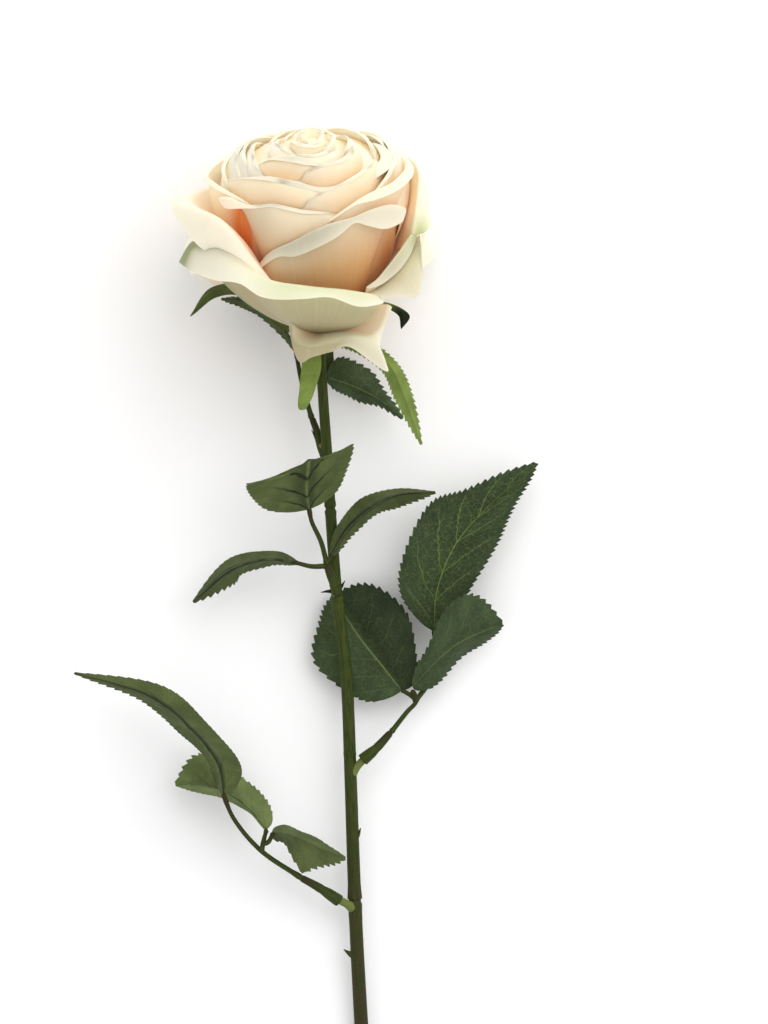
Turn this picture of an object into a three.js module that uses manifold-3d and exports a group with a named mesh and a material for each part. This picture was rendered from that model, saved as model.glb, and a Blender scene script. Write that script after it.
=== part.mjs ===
// A single cut rose laid down on a table: an open, high-centred bloom, its calyx, a thorned stem and four
// leaf sprays. Millimetres, +Z up. The stem runs along +Y towards the bloom, and the rose lies on the plane
// z = 0, with the origin under the middle of its outline. It rests on two outer petals behind the bloom and
// on the stem's cut end.
import * as THREE from "three";
import { mergeVertices } from "three/addons/utils/BufferGeometryUtils.js";
import Module from "manifold-3d";

const wasm = await Module();
wasm.setup();

// Driving dimensions
const PETAL_THICK = 0.8;
const LEAF_THICK = 0.7;
const SEPAL_THICK = 0.8;
const RIB_DEPTH = 0.6;
const BLADE_ARCH = 0.07; // how far a leaf's half bulges, as a share of its width
const STEM_RADII = [2, 2.9];
const SLEEVE_RADII = [2.1, 1.7];
const BRANCH_RADII = [1.25, 0.9];
const PEG_RADIUS = 1.5;
const TOUCH_GAP = 0.5;
const STEM_SIDES = 10;
const STALK_SIDES = 7;

// Where the petals grow from, and the way the bloom faces: up out of the table, and a little to the left
const BLOOM_BASE = new THREE.Vector3(6, 119, 27);
const BLOOM_TILT = THREE.MathUtils.degToRad(28);
const BLOOM_LEAN = THREE.MathUtils.degToRad(2);

// Colours
const CREAM = 0xf6e6cc;
const LEAF_GREEN = 0x34462e;
const STEM_GREEN = 0x48522a;
const SEPAL_GREEN = 0x5f7a35;

const rad = THREE.MathUtils.degToRad;
const lerp = THREE.MathUtils.lerp;
const at = (x, y, z) => new THREE.Vector3(x, y, z);
const points = (list) => list.map((p) => at(...p));

// A smooth curve through a list of [x, y, z], evenly paced from point to point.
const through = (list) => new THREE.CatmullRomCurve3(points(list), false, "catmullrom", 0.5);

// Solids

// A manifold solid from a list of corner points and a list of triangles.
function solidOf(corners, triangles) {
  const vertProperties = new Float32Array(corners.flatMap((p) => [p.x, p.y, p.z]));
  const triVerts = new Uint32Array(triangles);
  return new wasm.Manifold(new wasm.Mesh({ numProp: 3, vertProperties, triVerts }));
}

// A manifold solid from a closed three.js geometry.
function solidFromGeometry(geometry) {
  const bare = geometry.clone();
  bare.deleteAttribute("normal");
  bare.deleteAttribute("uv");
  const merged = mergeVertices(bare, 1e-4);
  const vertProperties = new Float32Array(merged.attributes.position.array);
  const triVerts = new Uint32Array(merged.index.array);
  return new wasm.Manifold(new wasm.Mesh({ numProp: 3, vertProperties, triVerts }));
}

// The one outer body of a solid: what fusing seals off inside is filled, and a loose scrap is dropped.
function outerBody(solid) {
  const bodies = solid.decompose().filter((body) => body.volume() > 0);
  return bodies.reduce((best, body) => (body.volume() > best.volume() ? body : best));
}

function geometryOf(solid) {
  const mesh = solid.getMesh();
  const position = new Float32Array(mesh.numVert * 3);
  for (let i = 0; i < mesh.numVert; i++) {
    position.set(mesh.vertProperties.subarray(i * mesh.numProp, i * mesh.numProp + 3), i * 3);
  }
  const geometry = new THREE.BufferGeometry();
  geometry.setAttribute("position", new THREE.BufferAttribute(position, 3));
  geometry.setIndex(new THREE.BufferAttribute(new Uint32Array(mesh.triVerts), 1));
  geometry.computeVertexNormals();
  return geometry;
}

// The way that a grid's surface faces at a point: across it and along it, in that order.
function gridNormal(grid, i, j) {
  const rows = grid.length;
  const cols = grid[0].length;
  const along = grid[Math.min(i + 1, rows - 1)][j].clone().sub(grid[Math.max(i - 1, 0)][j]);
  const across = grid[i][Math.min(j + 1, cols - 1)].clone().sub(grid[i][Math.max(j - 1, 0)]);
  return across.cross(along).normalize();
}

// A thin blade with the given middle surface, a grid of points in rows. Each face lies half the thickness off
// it, and both are split along the same diagonals, so that they never cross. keel(i, j) adds depth below.
function bladeSolid(grid, thick, keel = () => 0) {
  const rows = grid.length;
  const cols = grid[0].length;
  const corners = [];
  for (const side of [1, -1]) {
    for (let i = 0; i < rows; i++) {
      for (let j = 0; j < cols; j++) {
        const depth = thick / 2 + (side < 0 ? keel(i, j) : 0);
        corners.push(grid[i][j].clone().addScaledVector(gridNormal(grid, i, j), side * depth));
      }
    }
  }
  const top = (i, j) => i * cols + j;
  const under = (i, j) => rows * cols + i * cols + j;
  const triangles = [];
  const quad = (a, b, c, d) => triangles.push(a, b, c, a, c, d);
  for (let i = 0; i + 1 < rows; i++) {
    for (let j = 0; j + 1 < cols; j++) {
      quad(top(i, j), top(i, j + 1), top(i + 1, j + 1), top(i + 1, j));
      triangles.push(under(i, j), under(i + 1, j + 1), under(i, j + 1));
      triangles.push(under(i, j), under(i + 1, j), under(i + 1, j + 1));
    }
    quad(top(i, 0), top(i + 1, 0), under(i + 1, 0), under(i, 0));
    quad(top(i + 1, cols - 1), top(i, cols - 1), under(i, cols - 1), under(i + 1, cols - 1));
  }
  for (let j = 0; j + 1 < cols; j++) {
    quad(top(0, j + 1), top(0, j), under(0, j), under(0, j + 1));
    quad(top(rows - 1, j), top(rows - 1, j + 1), under(rows - 1, j + 1), under(rows - 1, j));
  }
  return solidOf(corners, triangles);
}

// A round rod along a smooth curve through the points. radiusAt gives its radius at a share of its length.
function rodSolid(list, radiusAt, sides, steps) {
  const curve = new THREE.CatmullRomCurve3(list, false, "centripetal");
  const frames = curve.computeFrenetFrames(steps, false);
  const corners = [];
  for (let i = 0; i <= steps; i++) {
    const centre = curve.getPointAt(i / steps);
    for (let k = 0; k < sides; k++) {
      const turn = (2 * Math.PI * k) / sides;
      const out = frames.normals[i].clone().multiplyScalar(Math.cos(turn));
      out.addScaledVector(frames.binormals[i], Math.sin(turn));
      corners.push(centre.clone().addScaledVector(out, radiusAt(i / steps)));
    }
  }
  const triangles = [];
  const ring = (i, k) => i * sides + (k % sides);
  for (let i = 0; i < steps; i++) {
    for (let k = 0; k < sides; k++) {
      triangles.push(ring(i, k), ring(i, k + 1), ring(i + 1, k + 1));
      triangles.push(ring(i, k), ring(i + 1, k + 1), ring(i + 1, k));
    }
  }
  for (let k = 1; k + 1 < sides; k++) {
    triangles.push(ring(0, 0), ring(0, k + 1), ring(0, k));
    triangles.push(ring(steps, 0), ring(steps, k), ring(steps, k + 1));
  }
  return solidOf(corners, triangles);
}

const straight = (from, to) => [at(...from), at(...from).lerp(at(...to), 0.5), at(...to)];

// Petals

const axis = at(0, Math.cos(BLOOM_TILT), Math.sin(BLOOM_TILT)).applyAxisAngle(at(0, 0, 1), BLOOM_LEAN);
const side = at(0, 0, 1).cross(axis).negate().normalize();
const front = side.clone().cross(axis).normalize();

// A direction square to the bloom's axis: 0 degrees is its front, 90 its right, 180 its back.
function outwards(degrees) {
  return front.clone().multiplyScalar(Math.cos(rad(degrees))).addScaledVector(side, Math.sin(rad(degrees)));
}

// A place in the bloom, given as degrees round the axis, distance from it and height along it.
function inBloom(place) {
  const point = BLOOM_BASE.clone().addScaledVector(outwards(place.x), place.y);
  return point.addScaledVector(axis, place.z);
}

// A slope in the plane of the axis: 0 degrees runs along it, 90 straight outwards.
function slope(around, degrees) {
  const out = outwards(around).multiplyScalar(Math.sin(rad(degrees)));
  return out.addScaledVector(axis, Math.cos(rad(degrees)));
}

// A petal hangs between three curves: its claw at the root, the crest where it turns over, and its free
// margin. Crest and margin are lists of [degrees, distance, height] from the petal's left side to its right.
// start and end are the slopes at which it leaves the root and reaches the crest, and pull is how far the
// first carries. claw is the root's own distance and height.
const PLAIN_PETAL = { claw: [4, 1], start: 70, end: 0, pull: 0.38, rows: 4, lipRows: 2, cols: 8 };
const CLAW_SHARE = 0.35;
const PRESSED_FLAT = 0.3; // middle of a petal that is pressed against the table

function petalSolid(own) {
  const p = { ...PLAIN_PETAL, ...own };
  const crest = through(p.crest);
  const margin = through(p.margin);
  const columns = [];
  for (let j = 0; j <= p.cols; j++) {
    const place = crest.getPoint(j / p.cols);
    const over = inBloom(place);
    const edge = inBloom(margin.getPoint(j / p.cols));
    const root = inBloom(at(lerp(p.root, place.x, CLAW_SHARE), ...p.claw));
    const reach = over.distanceTo(root);
    const rising = slope(place.x, p.end);
    const leaving = root.clone().addScaledVector(slope(lerp(p.root, place.x, 0.75), p.start), p.pull * reach);
    const arriving = over.clone().addScaledVector(rising, -0.4 * reach);
    const body = new THREE.CubicBezierCurve3(root, leaving, arriving, over);
    const turning = over.clone().addScaledVector(rising, 0.45 * over.distanceTo(edge));
    const lip = new THREE.QuadraticBezierCurve3(over, turning, edge);
    columns.push([...body.getPoints(p.rows), ...lip.getPoints(p.lipRows).slice(1)]);
  }
  const grid = columns[0].map((_, i) => columns.map((column) => column[i]));
  for (const point of grid.flat()) point.z = Math.max(point.z, PRESSED_FLAT);
  return bladeSolid(grid, PETAL_THICK);
}

// The petals that show from the front, each with its own shape
const SHOWN_PETALS = [
  // the hanging one in front
  {
    root: 14, start: 62, end: 78, pull: 0.3, rows: 3,
    crest: [
      [-24, 26, 16], [-21, 28.5, 11], [-8, 30, 8.5], [9, 30, 10.5], [24, 31, 11.5],
      [35, 32.5, 10.5], [41, 33, 10.5], [48, 33, 12.5], [59, 32, 19],
    ],
    margin: [
      [-26, 27, 14.5], [-15, 33, 3], [-5, 34, 5.5], [8, 34, 7.5], [21, 35, 8.5],
      [43, 39, -5], [42, 36, 4], [48, 35, 12], [60, 34, 18],
    ],
  },
  // the wide one in front, to the left
  {
    root: -16, start: 66, end: 22, pull: 0.3, rows: 3,
    crest: [
      [-70, 51, 50], [-61, 50, 54], [-51, 47, 54], [-38, 45, 49], [-25, 45, 45],
      [-8, 45, 44], [10, 45, 42], [24, 45, 38.5], [38, 42, 31],
    ],
    margin: [
      [-71, 58, 42.5], [-60, 57, 43], [-49, 54, 42.5], [-37, 51.5, 43.5], [-25, 51, 39.5],
      [-7, 50, 40], [6, 49.5, 40], [19, 50, 34.5], [34, 46.5, 31],
    ],
  },
  // the right one, turned down to a corner
  {
    root: 52, start: 58, end: 60, pull: 0.3, rows: 3, cols: 4,
    crest: [[24, 42, 33], [36, 42, 36], [50, 43, 42], [62, 44, 46], [72, 44, 48]],
    margin: [[31, 44, 32], [42, 48.5, 32.5], [51, 51.5, 31], [56, 51, 41], [60, 48, 54]],
  },
  // the right one above it
  {
    root: 52, claw: [5, 3], start: 62, end: 15, pull: 0.32, rows: 3, cols: 6,
    crest: [
      [22, 43, 36], [32, 43, 40], [41, 43, 44], [50, 43, 48],
      [60, 42.5, 50.5], [74, 41, 50], [88, 40, 47],
    ],
    margin: [
      [24, 45, 35], [34, 46, 35.5], [42, 46, 39], [50, 46, 44],
      [59, 45, 47.5], [72, 43, 49.5], [87, 42, 46.5],
    ],
  },
  // the left one, rolled to a point
  {
    root: -85, start: 66, end: 45, pull: 0.34, rows: 3, cols: 6,
    crest: [
      [-26, 42, 42.5], [-38, 42, 51.5], [-48, 44, 61], [-57, 47, 66],
      [-75, 49, 64], [-100, 47, 58], [-115, 45, 55],
    ],
    margin: [
      [-26, 43, 42], [-40, 48, 47], [-53, 51, 50], [-63, 55, 56],
      [-84, 60, 63.5], [-100, 51, 59], [-114, 49, 55],
    ],
  },
  // the far right one
  {
    root: 85, claw: [5, 3], start: 62, end: 20, pull: 0.34, rows: 3, cols: 6,
    crest: [[50, 40, 54], [64, 40, 63], [80, 40, 69], [100, 40, 70], [122, 40, 67]],
    margin: [[61, 45, 51], [74, 48, 51.5], [82, 46.5, 58], [97, 44.5, 63], [120, 42.5, 62]],
  },
  // the wide middle one in front
  {
    root: 14, claw: [7, 5], start: 74, cols: 9,
    crest: [
      [-42, 35, 43], [-28, 37.5, 53], [-14, 38.5, 59], [-2, 39, 64], [10, 39.5, 67.5],
      [22, 40, 69.5], [35, 40.5, 71.5], [49, 40.5, 70.5], [64, 39.5, 63], [77, 37, 50],
    ],
    margin: [
      [-40, 37, 42], [-23, 40, 52.5], [-12, 42.5, 55], [-1, 43.5, 59], [11, 43.5, 63.5],
      [22, 41.8, 67.5], [29, 44, 66], [38, 46.5, 63.5], [52, 43.5, 61.5], [70, 38.5, 50],
    ],
  },
  // left, right and the next ones inwards
  {
    root: -95, claw: [7, 5], end: 5, rows: 3, cols: 6,
    crest: [
      [-42, 32, 66], [-54, 36, 71], [-76, 41, 73],
      [-100, 42.5, 68], [-122, 42.5, 66], [-140, 41, 68],
    ],
    margin: [
      [-43, 34, 66], [-56, 38.5, 70.5], [-77, 44.5, 71],
      [-100, 46, 66], [-122, 45, 65], [-140, 43, 67],
    ],
  },
  {
    root: 60, claw: [7, 5], rows: 3, cols: 6,
    crest: [[8, 34, 66], [24, 37, 73.5], [37, 38, 76.5], [55, 38.5, 76.5], [71, 38, 76], [104, 36, 72]],
    margin: [[8, 35, 65.5], [24, 38.5, 73], [38, 41.5, 74], [56, 42.5, 74], [72, 42, 73.5], [104, 39, 71]],
  },
  {
    root: -15, claw: [8, 12], start: 66, rows: 3, cols: 7,
    crest: [[-50, 34, 66], [-38, 34, 71], [-27, 33.5, 72.5], [-9, 33, 71], [12, 33, 69], [32, 32, 62]],
    margin: [[-64, 44, 69.5], [-44, 38, 69], [-27, 36.5, 70.5], [-9, 36, 69], [12, 34.5, 68], [32, 33, 61]],
  },
  {
    root: -30, claw: [8, 20], start: 58, end: -2, rows: 2, cols: 6,
    crest: [[-80, 34, 72], [-60, 31, 77.5], [-38, 27.5, 80.5], [-15, 26.5, 80], [7, 27, 76], [22, 27, 71]],
    margin: [
      [-80, 36, 71.5], [-60, 33, 77], [-38, 31, 78.5],
      [-15, 30, 77.5], [7, 28.5, 75], [22, 28, 70.5],
    ],
  },
  {
    root: 28, claw: [8, 20], start: 58, end: -2, rows: 2, cols: 6,
    crest: [[-24, 28, 66], [-6, 29, 73.5], [7, 29, 77], [28, 28, 79.5], [49, 27.5, 81], [72, 26, 80]],
    margin: [
      [-24, 29, 65.5], [-6, 30.5, 72.5], [7, 30.7, 76.3],
      [28, 30, 78.5], [49, 29.5, 80], [72, 27.5, 79.5],
    ],
  },
  {
    root: -25, claw: [8, 40], start: 40, end: -8, rows: 2, cols: 5,
    crest: [[-80, 24, 76], [-58, 20.5, 83], [-36, 18, 86], [-16, 17, 86], [5, 17, 84], [22, 17, 80]],
    margin: [
      [-80, 25.5, 75.5], [-58, 23, 82.5], [-36, 22, 84.5],
      [-16, 21.5, 84], [5, 20, 82.5], [22, 18, 79.5],
    ],
  },
  {
    root: 40, claw: [8, 40], start: 40, end: -8, rows: 2, cols: 5,
    crest: [[-18, 19, 80], [9, 20.5, 84.5], [35, 20, 85], [64, 18, 85.5], [92, 16, 82]],
    margin: [[-18, 20, 79.5], [9, 22.5, 83.5], [35, 22.5, 83.5], [64, 20.5, 84.5], [92, 18, 81.5]],
  },
];

// The plain petals behind, and inside, stand in rings. Each is given as the degrees at which it stands, half
// its width in degrees, its crest's distance and height, and how much higher its right end stands than its
// middle. droop is how far both ends come down, lip how far it turns over, fall how far the margin hangs
// below the crest, and turn how much its right end stands inside the next petal.
const PLAIN_RINGS = [
  {
    petals: [[144, 30, 51, 33, 8], [-141, 32, 51.5, 32, -8]],
    droop: 6, lip: 12, fall: 3, turn: 0, start: 66, end: 60, rows: 2, cols: 6,
  },
  {
    petals: [[178, 48, 42, 54, 2]],
    droop: 10, lip: 6, fall: 2.5, turn: 0, end: 25, rows: 3, cols: 6,
  },
  {
    petals: [[138, 42, 37, 71, -1], [-166, 42, 38, 70, 2]],
    droop: 6, lip: 4, fall: 1.5, turn: 1.5, claw: [7, 5], end: 3, rows: 3, cols: 6,
  },
  {
    petals: [[108, 46, 30.5, 77, 2], [172, 50, 29, 75, -1.5], [-118, 45, 31, 76, 1.5]],
    droop: 6, lip: 3.8, fall: 1.5, turn: 1.5, claw: [8, 20], start: 58, end: -4, rows: 2, cols: 6,
  },
  {
    petals: [[130, 50, 22, 81, 1.5], [-150, 52, 21, 79, -1.5], [-96, 44, 24, 80, 2]],
    droop: 5, lip: 3.3, fall: 1.5, turn: 1.5, claw: [8, 40], start: 40, end: -6, rows: 2, cols: 5,
  },
  {
    petals: [[2, 58, 12.5, 86, 1], [95, 60, 14, 84, -1], [-172, 58, 15, 82.5, 1], [-72, 56, 13, 85, -1]],
    droop: 4, lip: 2.6, fall: 1.2, turn: 1.5, claw: [7, 56], start: 30, end: -8, rows: 1, cols: 5,
  },
  {
    petals: [[-30, 75, 7.5, 87, 1], [95, 70, 8, 86, -1], [-150, 72, 8, 85, 1]],
    droop: 3, lip: 1.8, fall: 1, turn: 1.2, claw: [4, 70], start: 30, end: -12, rows: 1, lipRows: 1, cols: 4,
  },
];
const STATIONS = [-1, -2 / 3, -1 / 3, 0, 1 / 3, 2 / 3, 1];

function ringPetal([around, half, r, w, skew], ring) {
  const crest = STATIONS.map((u) => {
    const height = w + skew * u - ring.droop * Math.abs(u) ** 2.5;
    return [around + u * half, r - ring.turn * u, height];
  });
  const margin = crest.map(([degrees, distance, height], k) => {
    const turned = 1 - 0.85 * Math.abs(STATIONS[k]) ** 3;
    return [degrees, distance + ring.lip * turned, height - ring.fall * turned];
  });
  return petalSolid({ ...ring, root: around, crest, margin });
}

// The heart that carries the petals, closed by the bud's tip
const HEART = [
  [0, -1],
  [6, 0],
  [10, 6],
  [14, 20],
  [14, 36],
  [9, 66],
  [2.5, 86],
  [0, 87],
];
const HEART_SIDES = 10;

function bloomSolid() {
  const shown = SHOWN_PETALS.map(petalSolid);
  const plain = PLAIN_RINGS.flatMap((ring) => ring.petals.map((petal) => ringPetal(petal, ring)));
  const heart = new THREE.LatheGeometry(HEART.map(([r, w]) => new THREE.Vector2(r, w)), HEART_SIDES);
  heart.applyQuaternion(new THREE.Quaternion().setFromUnitVectors(at(0, 1, 0), axis));
  heart.translate(BLOOM_BASE.x, BLOOM_BASE.y, BLOOM_BASE.z);
  const fused = wasm.Manifold.union([solidFromGeometry(heart), ...shown, ...plain]);
  const table = new THREE.BoxGeometry(400, 400, 40);
  table.translate(BLOOM_BASE.x, BLOOM_BASE.y, -20);
  return outerBody(fused.subtract(solidFromGeometry(table)));
}

// Leaves and sepals

const QUARTERS = [0.25, 0.5, 0.75];
const LEAF_TEETH = 8;
const TOOTH_BITE = 0.1; // how much further a tooth's tip stands out than its notch
const TOOTH_LEAN = 0.72; // where a tooth's tip stands between its two notches
const BASE_ROUND = 0.5;
const TIP_POINT = 0.85;

// A leaf's half width at a share of its length: a round base and a pointed tip.
const outline = (v) => v ** BASE_ROUND * (1 - v) ** TIP_POINT;

// The shares of the length at which a blade's rows lie: a tooth's tip, the notch after it, and so on.
function toothShares(teeth) {
  const shares = [0.01];
  for (let k = 0; k < teeth; k++) {
    shares.push((k + TOOTH_LEAN) / teeth);
    if (k + 1 < teeth) shares.push((k + 1) / teeth);
  }
  shares[shares.length - 1] = 0.99;
  return shares;
}

// A leaf from its midrib, five points from base to tip, and each margin at the quarters of its length.
// left and right are those of someone who looks along the leaf to its tip, with its upper side up.
function leafGrid({ rib, left, right, teeth = LEAF_TEETH, bite = TOOTH_BITE }) {
  const middle = through(rib);
  const spread = [left, right].map((margin) => {
    const full = margin.map((p, k) => at(...p).sub(at(...rib[k + 1])).divideScalar(outline(QUARTERS[k])));
    return new THREE.CatmullRomCurve3([full[0], ...full, full[2]], false, "catmullrom", 0.5);
  });
  return toothShares(teeth).map((v, row) => {
    const centre = middle.getPoint(v);
    const along = middle.getTangent(v);
    const width = Math.max(outline(v), 0.03) * (row % 2 === 1 ? 1 + bite : 1);
    const outs = spread.map((curve) => curve.getPoint(v).multiplyScalar(width));
    const lifts = [along.clone().cross(outs[0]), outs[1].clone().cross(along)];
    for (const lift of lifts) lift.multiplyScalar(BLADE_ARCH);
    const half = (k) => centre.clone().addScaledVector(outs[k], 0.5).add(lifts[k]);
    return [centre.clone().add(outs[0]), half(0), centre, half(1), centre.clone().add(outs[1])];
  });
}

function leafSolid(leaf, thick = LEAF_THICK) {
  const grid = leafGrid(leaf);
  return bladeSolid(grid, thick, (i, j) => (j === 2 ? RIB_DEPTH * (1 - i / grid.length) : 0));
}

// Every leaf: three on each spray, and two on the one behind the bloom
const LEAVES = {
  leaf_upper_end: {
    rib: [[2, 47, 38], [1, 55.5, 50], [2, 66.5, 57], [1, 62.5, 43], [-0.5, 56.5, 29]],
    left: [[14.5, 60, 41], [19, 72, 47], [12, 67, 36]],
    right: [[-19, 50.5, 43], [-22, 56.5, 50], [-15, 56.5, 38]],
  },
  leaf_upper_left: {
    rib: [[-3, 25.5, 29.5], [-13, 27, 31], [-22.5, 25.5, 31], [-32, 21.5, 27], [-44.5, 10, 18]],
    left: [[-11.5, 30, 19], [-22.5, 29.5, 18], [-33.5, 24.5, 18]],
    right: [[-13, 25, 19], [-25, 21.5, 19], [-30, 17, 19]],
  },
  leaf_upper_right: {
    rib: [[11, 28.5, 28.5], [17.5, 39, 31], [26.5, 47, 33.5], [37, 53, 33], [52.5, 54, 29]],
    left: [[19, 37, 25], [29, 45.5, 22], [39, 49, 22]],
    right: [[14.5, 42, 26], [23, 51, 22], [35.5, 55, 22]],
  },
  leaf_top_left: {
    rib: [[-3, 110, 15.5], [-8, 118.5, 14.5], [-16.5, 126, 14], [-24.5, 130.5, 13], [-33, 131.5, 12]],
    left: [[-7.5, 119, 5], [-15.5, 127, 4], [-24, 131.5, 7]],
    right: [[-9, 117, 6], [-18.5, 125, 5], [-25, 128.5, 7]],
  },
  leaf_top_right: {
    rib: [[9, 100, 16], [15.5, 98, 17], [23, 95, 17], [31, 90.5, 15], [39.5, 83.5, 12]],
    left: [[17.5, 107, 13], [27, 101, 12], [33, 92.5, 12]],
    right: [[15, 94.5, 12], [21.5, 91, 10], [30, 89, 11]],
  },
  leaf_middle_left: {
    rib: [[39, -25.5, 12], [32, -16.5, 9.5], [23.5, -6, 8], [17, 3.5, 7], [12, 12.5, 5]],
    left: [[19.5, -27, 9], [4.5, -13.5, 8.5], [7, 2, 7]],
    right: [[45, -14, 12], [40.5, 5.5, 11.5], [26.5, 16, 8.5]],
  },
  leaf_middle_right: {
    rib: [[43.5, -24, 15], [51.5, -15, 19.5], [61, -7, 22], [71, -2, 21.5], [79.5, 1, 18]],
    left: [[49.5, -9, 23], [57, 7, 26], [68, 12, 24]],
    right: [[54.5, -21, 12.5], [63.5, -11, 10.5], [73, -5.5, 12.5]],
  },
  leaf_middle_end: {
    rib: [[52, -1.5, 11.5], [53.5, 15.5, 13], [61, 33.5, 15.5], [75, 49.5, 17], [93, 65.5, 15]],
    left: [[38.5, 21, 18], [50, 48, 21], [66.5, 55, 20]],
    right: [[65.5, 14, 15], [77, 33.5, 18], [84, 49, 18]],
  },
  leaf_lower_end: {
    rib: [[-32.5, -67, 31], [-35.5, -54, 37], [-46, -40.5, 41], [-63, -28, 38], [-92, -18.5, 31]],
    left: [[-26, -54.5, 23], [-39, -39, 27], [-57.5, -23.5, 31]],
    right: [[-39, -52.5, 21], [-49, -43, 24], [-65, -29, 30]],
  },
  leaf_lower_left: {
    rib: [[-15, -81, 27], [-22.5, -72.5, 27], [-31, -66.5, 25], [-41, -64, 21], [-51.5, -63.5, 15]],
    left: [[-17, -68, 14], [-27, -59.5, 9], [-43, -52, 11]],
    right: [[-21.5, -75, 16], [-31.5, -69, 11], [-41.5, -66.5, 11]],
  },
  leaf_lower_right: {
    rib: [[-12.6, -82, 28.2], [-7, -82.8, 31], [0, -85, 31], [7.5, -89, 28], [16.5, -92.5, 22]],
    left: [[-8, -86.5, 21], [-0.5, -96, 21], [9, -95, 22]],
    right: [[-6.5, -80, 20], [1, -83, 18], [8.5, -87, 20]],
  },
};

// The stalk of each spray: a thick sleeve at the stem, then a branch to each leaf's base
const SPRAY_STALKS = {
  spray_upper_stalk: {
    sleeve: [[12, 17.2, 23.4], [10.6, 21, 24.8], [9, 25.6, 26.6]],
    branches: [
      [[9.2, 25, 26.3], [6.8, 34, 30.6], [3, 42.4, 36], [2, 47, 38]],
      [[9, 25.8, 26.8], [3.4, 24, 27.8], [-3, 26, 29.5]],
      [[9, 25.6, 26.4], [10, 27, 27.6], [11, 28.5, 28.5]],
    ],
  },
  spray_top_stalk: {
    sleeve: [[4.9, 74, 20], [4, 79, 19.6], [3, 84, 19.2]],
    branches: [
      [[3.2, 83, 19.6], [0.4, 92.8, 18.5], [-1.6, 100.8, 16.8], [-3, 110, 15.5]],
      [[0.6, 92, 18.6], [4, 97.6, 17], [8.6, 99.9, 16]],
    ],
  },
  spray_middle_stalk: {
    sleeve: [[24, -52.8, 14.6], [29, -48.6, 14.8], [35, -42, 14.6]],
    branches: [
      [[34.6, -42.6, 14.6], [41, -34.4, 14], [45, -29.6, 13.6], [43.4, -25.8, 13.6]],
      [[45, -29.2, 13.4], [42.6, -27.4, 12.4], [39.4, -25.7, 12]],
      [[44, -30.4, 13.4], [49.4, -23, 7.6], [52.8, -10, 8], [52, -1.5, 11.5]],
    ],
  },
  spray_lower_stalk: {
    sleeve: [[13.8, -109.8, 12.7], [6, -104.6, 14.4], [-1.6, -100.4, 16.2]],
    branches: [
      [[-0.6, -101, 16], [-17.6, -89.4, 21], [-28.4, -76.4, 26.4], [-32.4, -67, 31]],
      [[-17, -90, 20.8], [-16.4, -86.4, 25], [-15.2, -81.6, 27.2]],
      [[-16.4, -87, 23.6], [-14.2, -86, 26.2], [-13, -83.3, 27.8]],
    ],
  },
};

// A branch stops just short of the leaf that it carries.
function shortened(list) {
  const end = list.at(-1);
  const before = list.at(-2);
  return [...list.slice(0, -1), before.clone().lerp(end, 1 - TOUCH_GAP / end.distanceTo(before))];
}

function stalkSolid({ sleeve, branches }) {
  const taper = (radii) => (s) => lerp(radii[0], radii[1], s);
  const sleeveRod = rodSolid(points(sleeve), taper(SLEEVE_RADII), STALK_SIDES, 3);
  const branchRods = branches.map((list) => {
    return rodSolid(shortened(points(list)), taper(BRANCH_RADII), STALK_SIDES, list.length > 3 ? 7 : 3);
  });
  return outerBody(wasm.Manifold.union([sleeveRod, ...branchRods]));
}

// Stem

const STEM_PATH = [
  [6.4, 112, 27.2],
  [7.6, 92, 25.4],
  [9, 72, 23.4],
  [11, 40, 20.6],
  [13.2, 12, 18.4],
  [16.8, -18, 16],
  [18.6, -60, 12.6],
  [19.8, -96, 10],
  [21, -125, 8],
  [25.2, -200, 2.76],
];
const STEM_STEPS = 28;

// Pegs on which the sprays sit, and thorns, each from a point in the stem to its tip
const PEGS = [
  [[13, 12, 18.6], [12.3, 15.8, 22.2]],
  [[8.8, 71.6, 23], [6.3, 72.7, 21]],
  [[18.6, -58, 12.8], [23.4, -53.3, 14.5]],
  [[20.4, -111.4, 9.4], [15, -110.2, 12.2]],
];
const THORNS = [
  { root: [13, 14, 18.6], tip: [6.6, 13.8, 20], radius: 1 },
  { root: [12.8, 15.4, 18.6], tip: [16.2, 18.4, 20.4], radius: 0.9 },
  { root: [19.2, -84, 11], tip: [22.8, -80.4, 12.4], radius: 1.3 },
  { root: [21.4, -131.4, 7.6], tip: [15.8, -129.4, 9], radius: 1.5 },
];
const COLLARS = [
  { share: 0.21, size: 0.25 },
  { share: 0.72, size: 0.45 },
];

function stemRadius(s) {
  const bulge = COLLARS.reduce((sum, c) => sum + c.size * Math.exp(-(((s - c.share) / 0.012) ** 2)), 0);
  return lerp(STEM_RADII[0], STEM_RADII[1], s) + bulge;
}

function stemSolid() {
  const rod = rodSolid(points(STEM_PATH), stemRadius, STEM_SIDES, STEM_STEPS);
  const pegs = PEGS.map(([from, to]) => rodSolid(straight(from, to), () => PEG_RADIUS, STALK_SIDES, 2));
  const thorns = THORNS.map(({ root, tip, radius }) => {
    return rodSolid(straight(root, tip), (s) => lerp(radius, 0.15, s), 6, 2);
  });
  return outerBody(wasm.Manifold.union([rod, ...pegs, ...thorns]));
}

// Calyx: the hip under the bloom, with its five sepals

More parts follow.
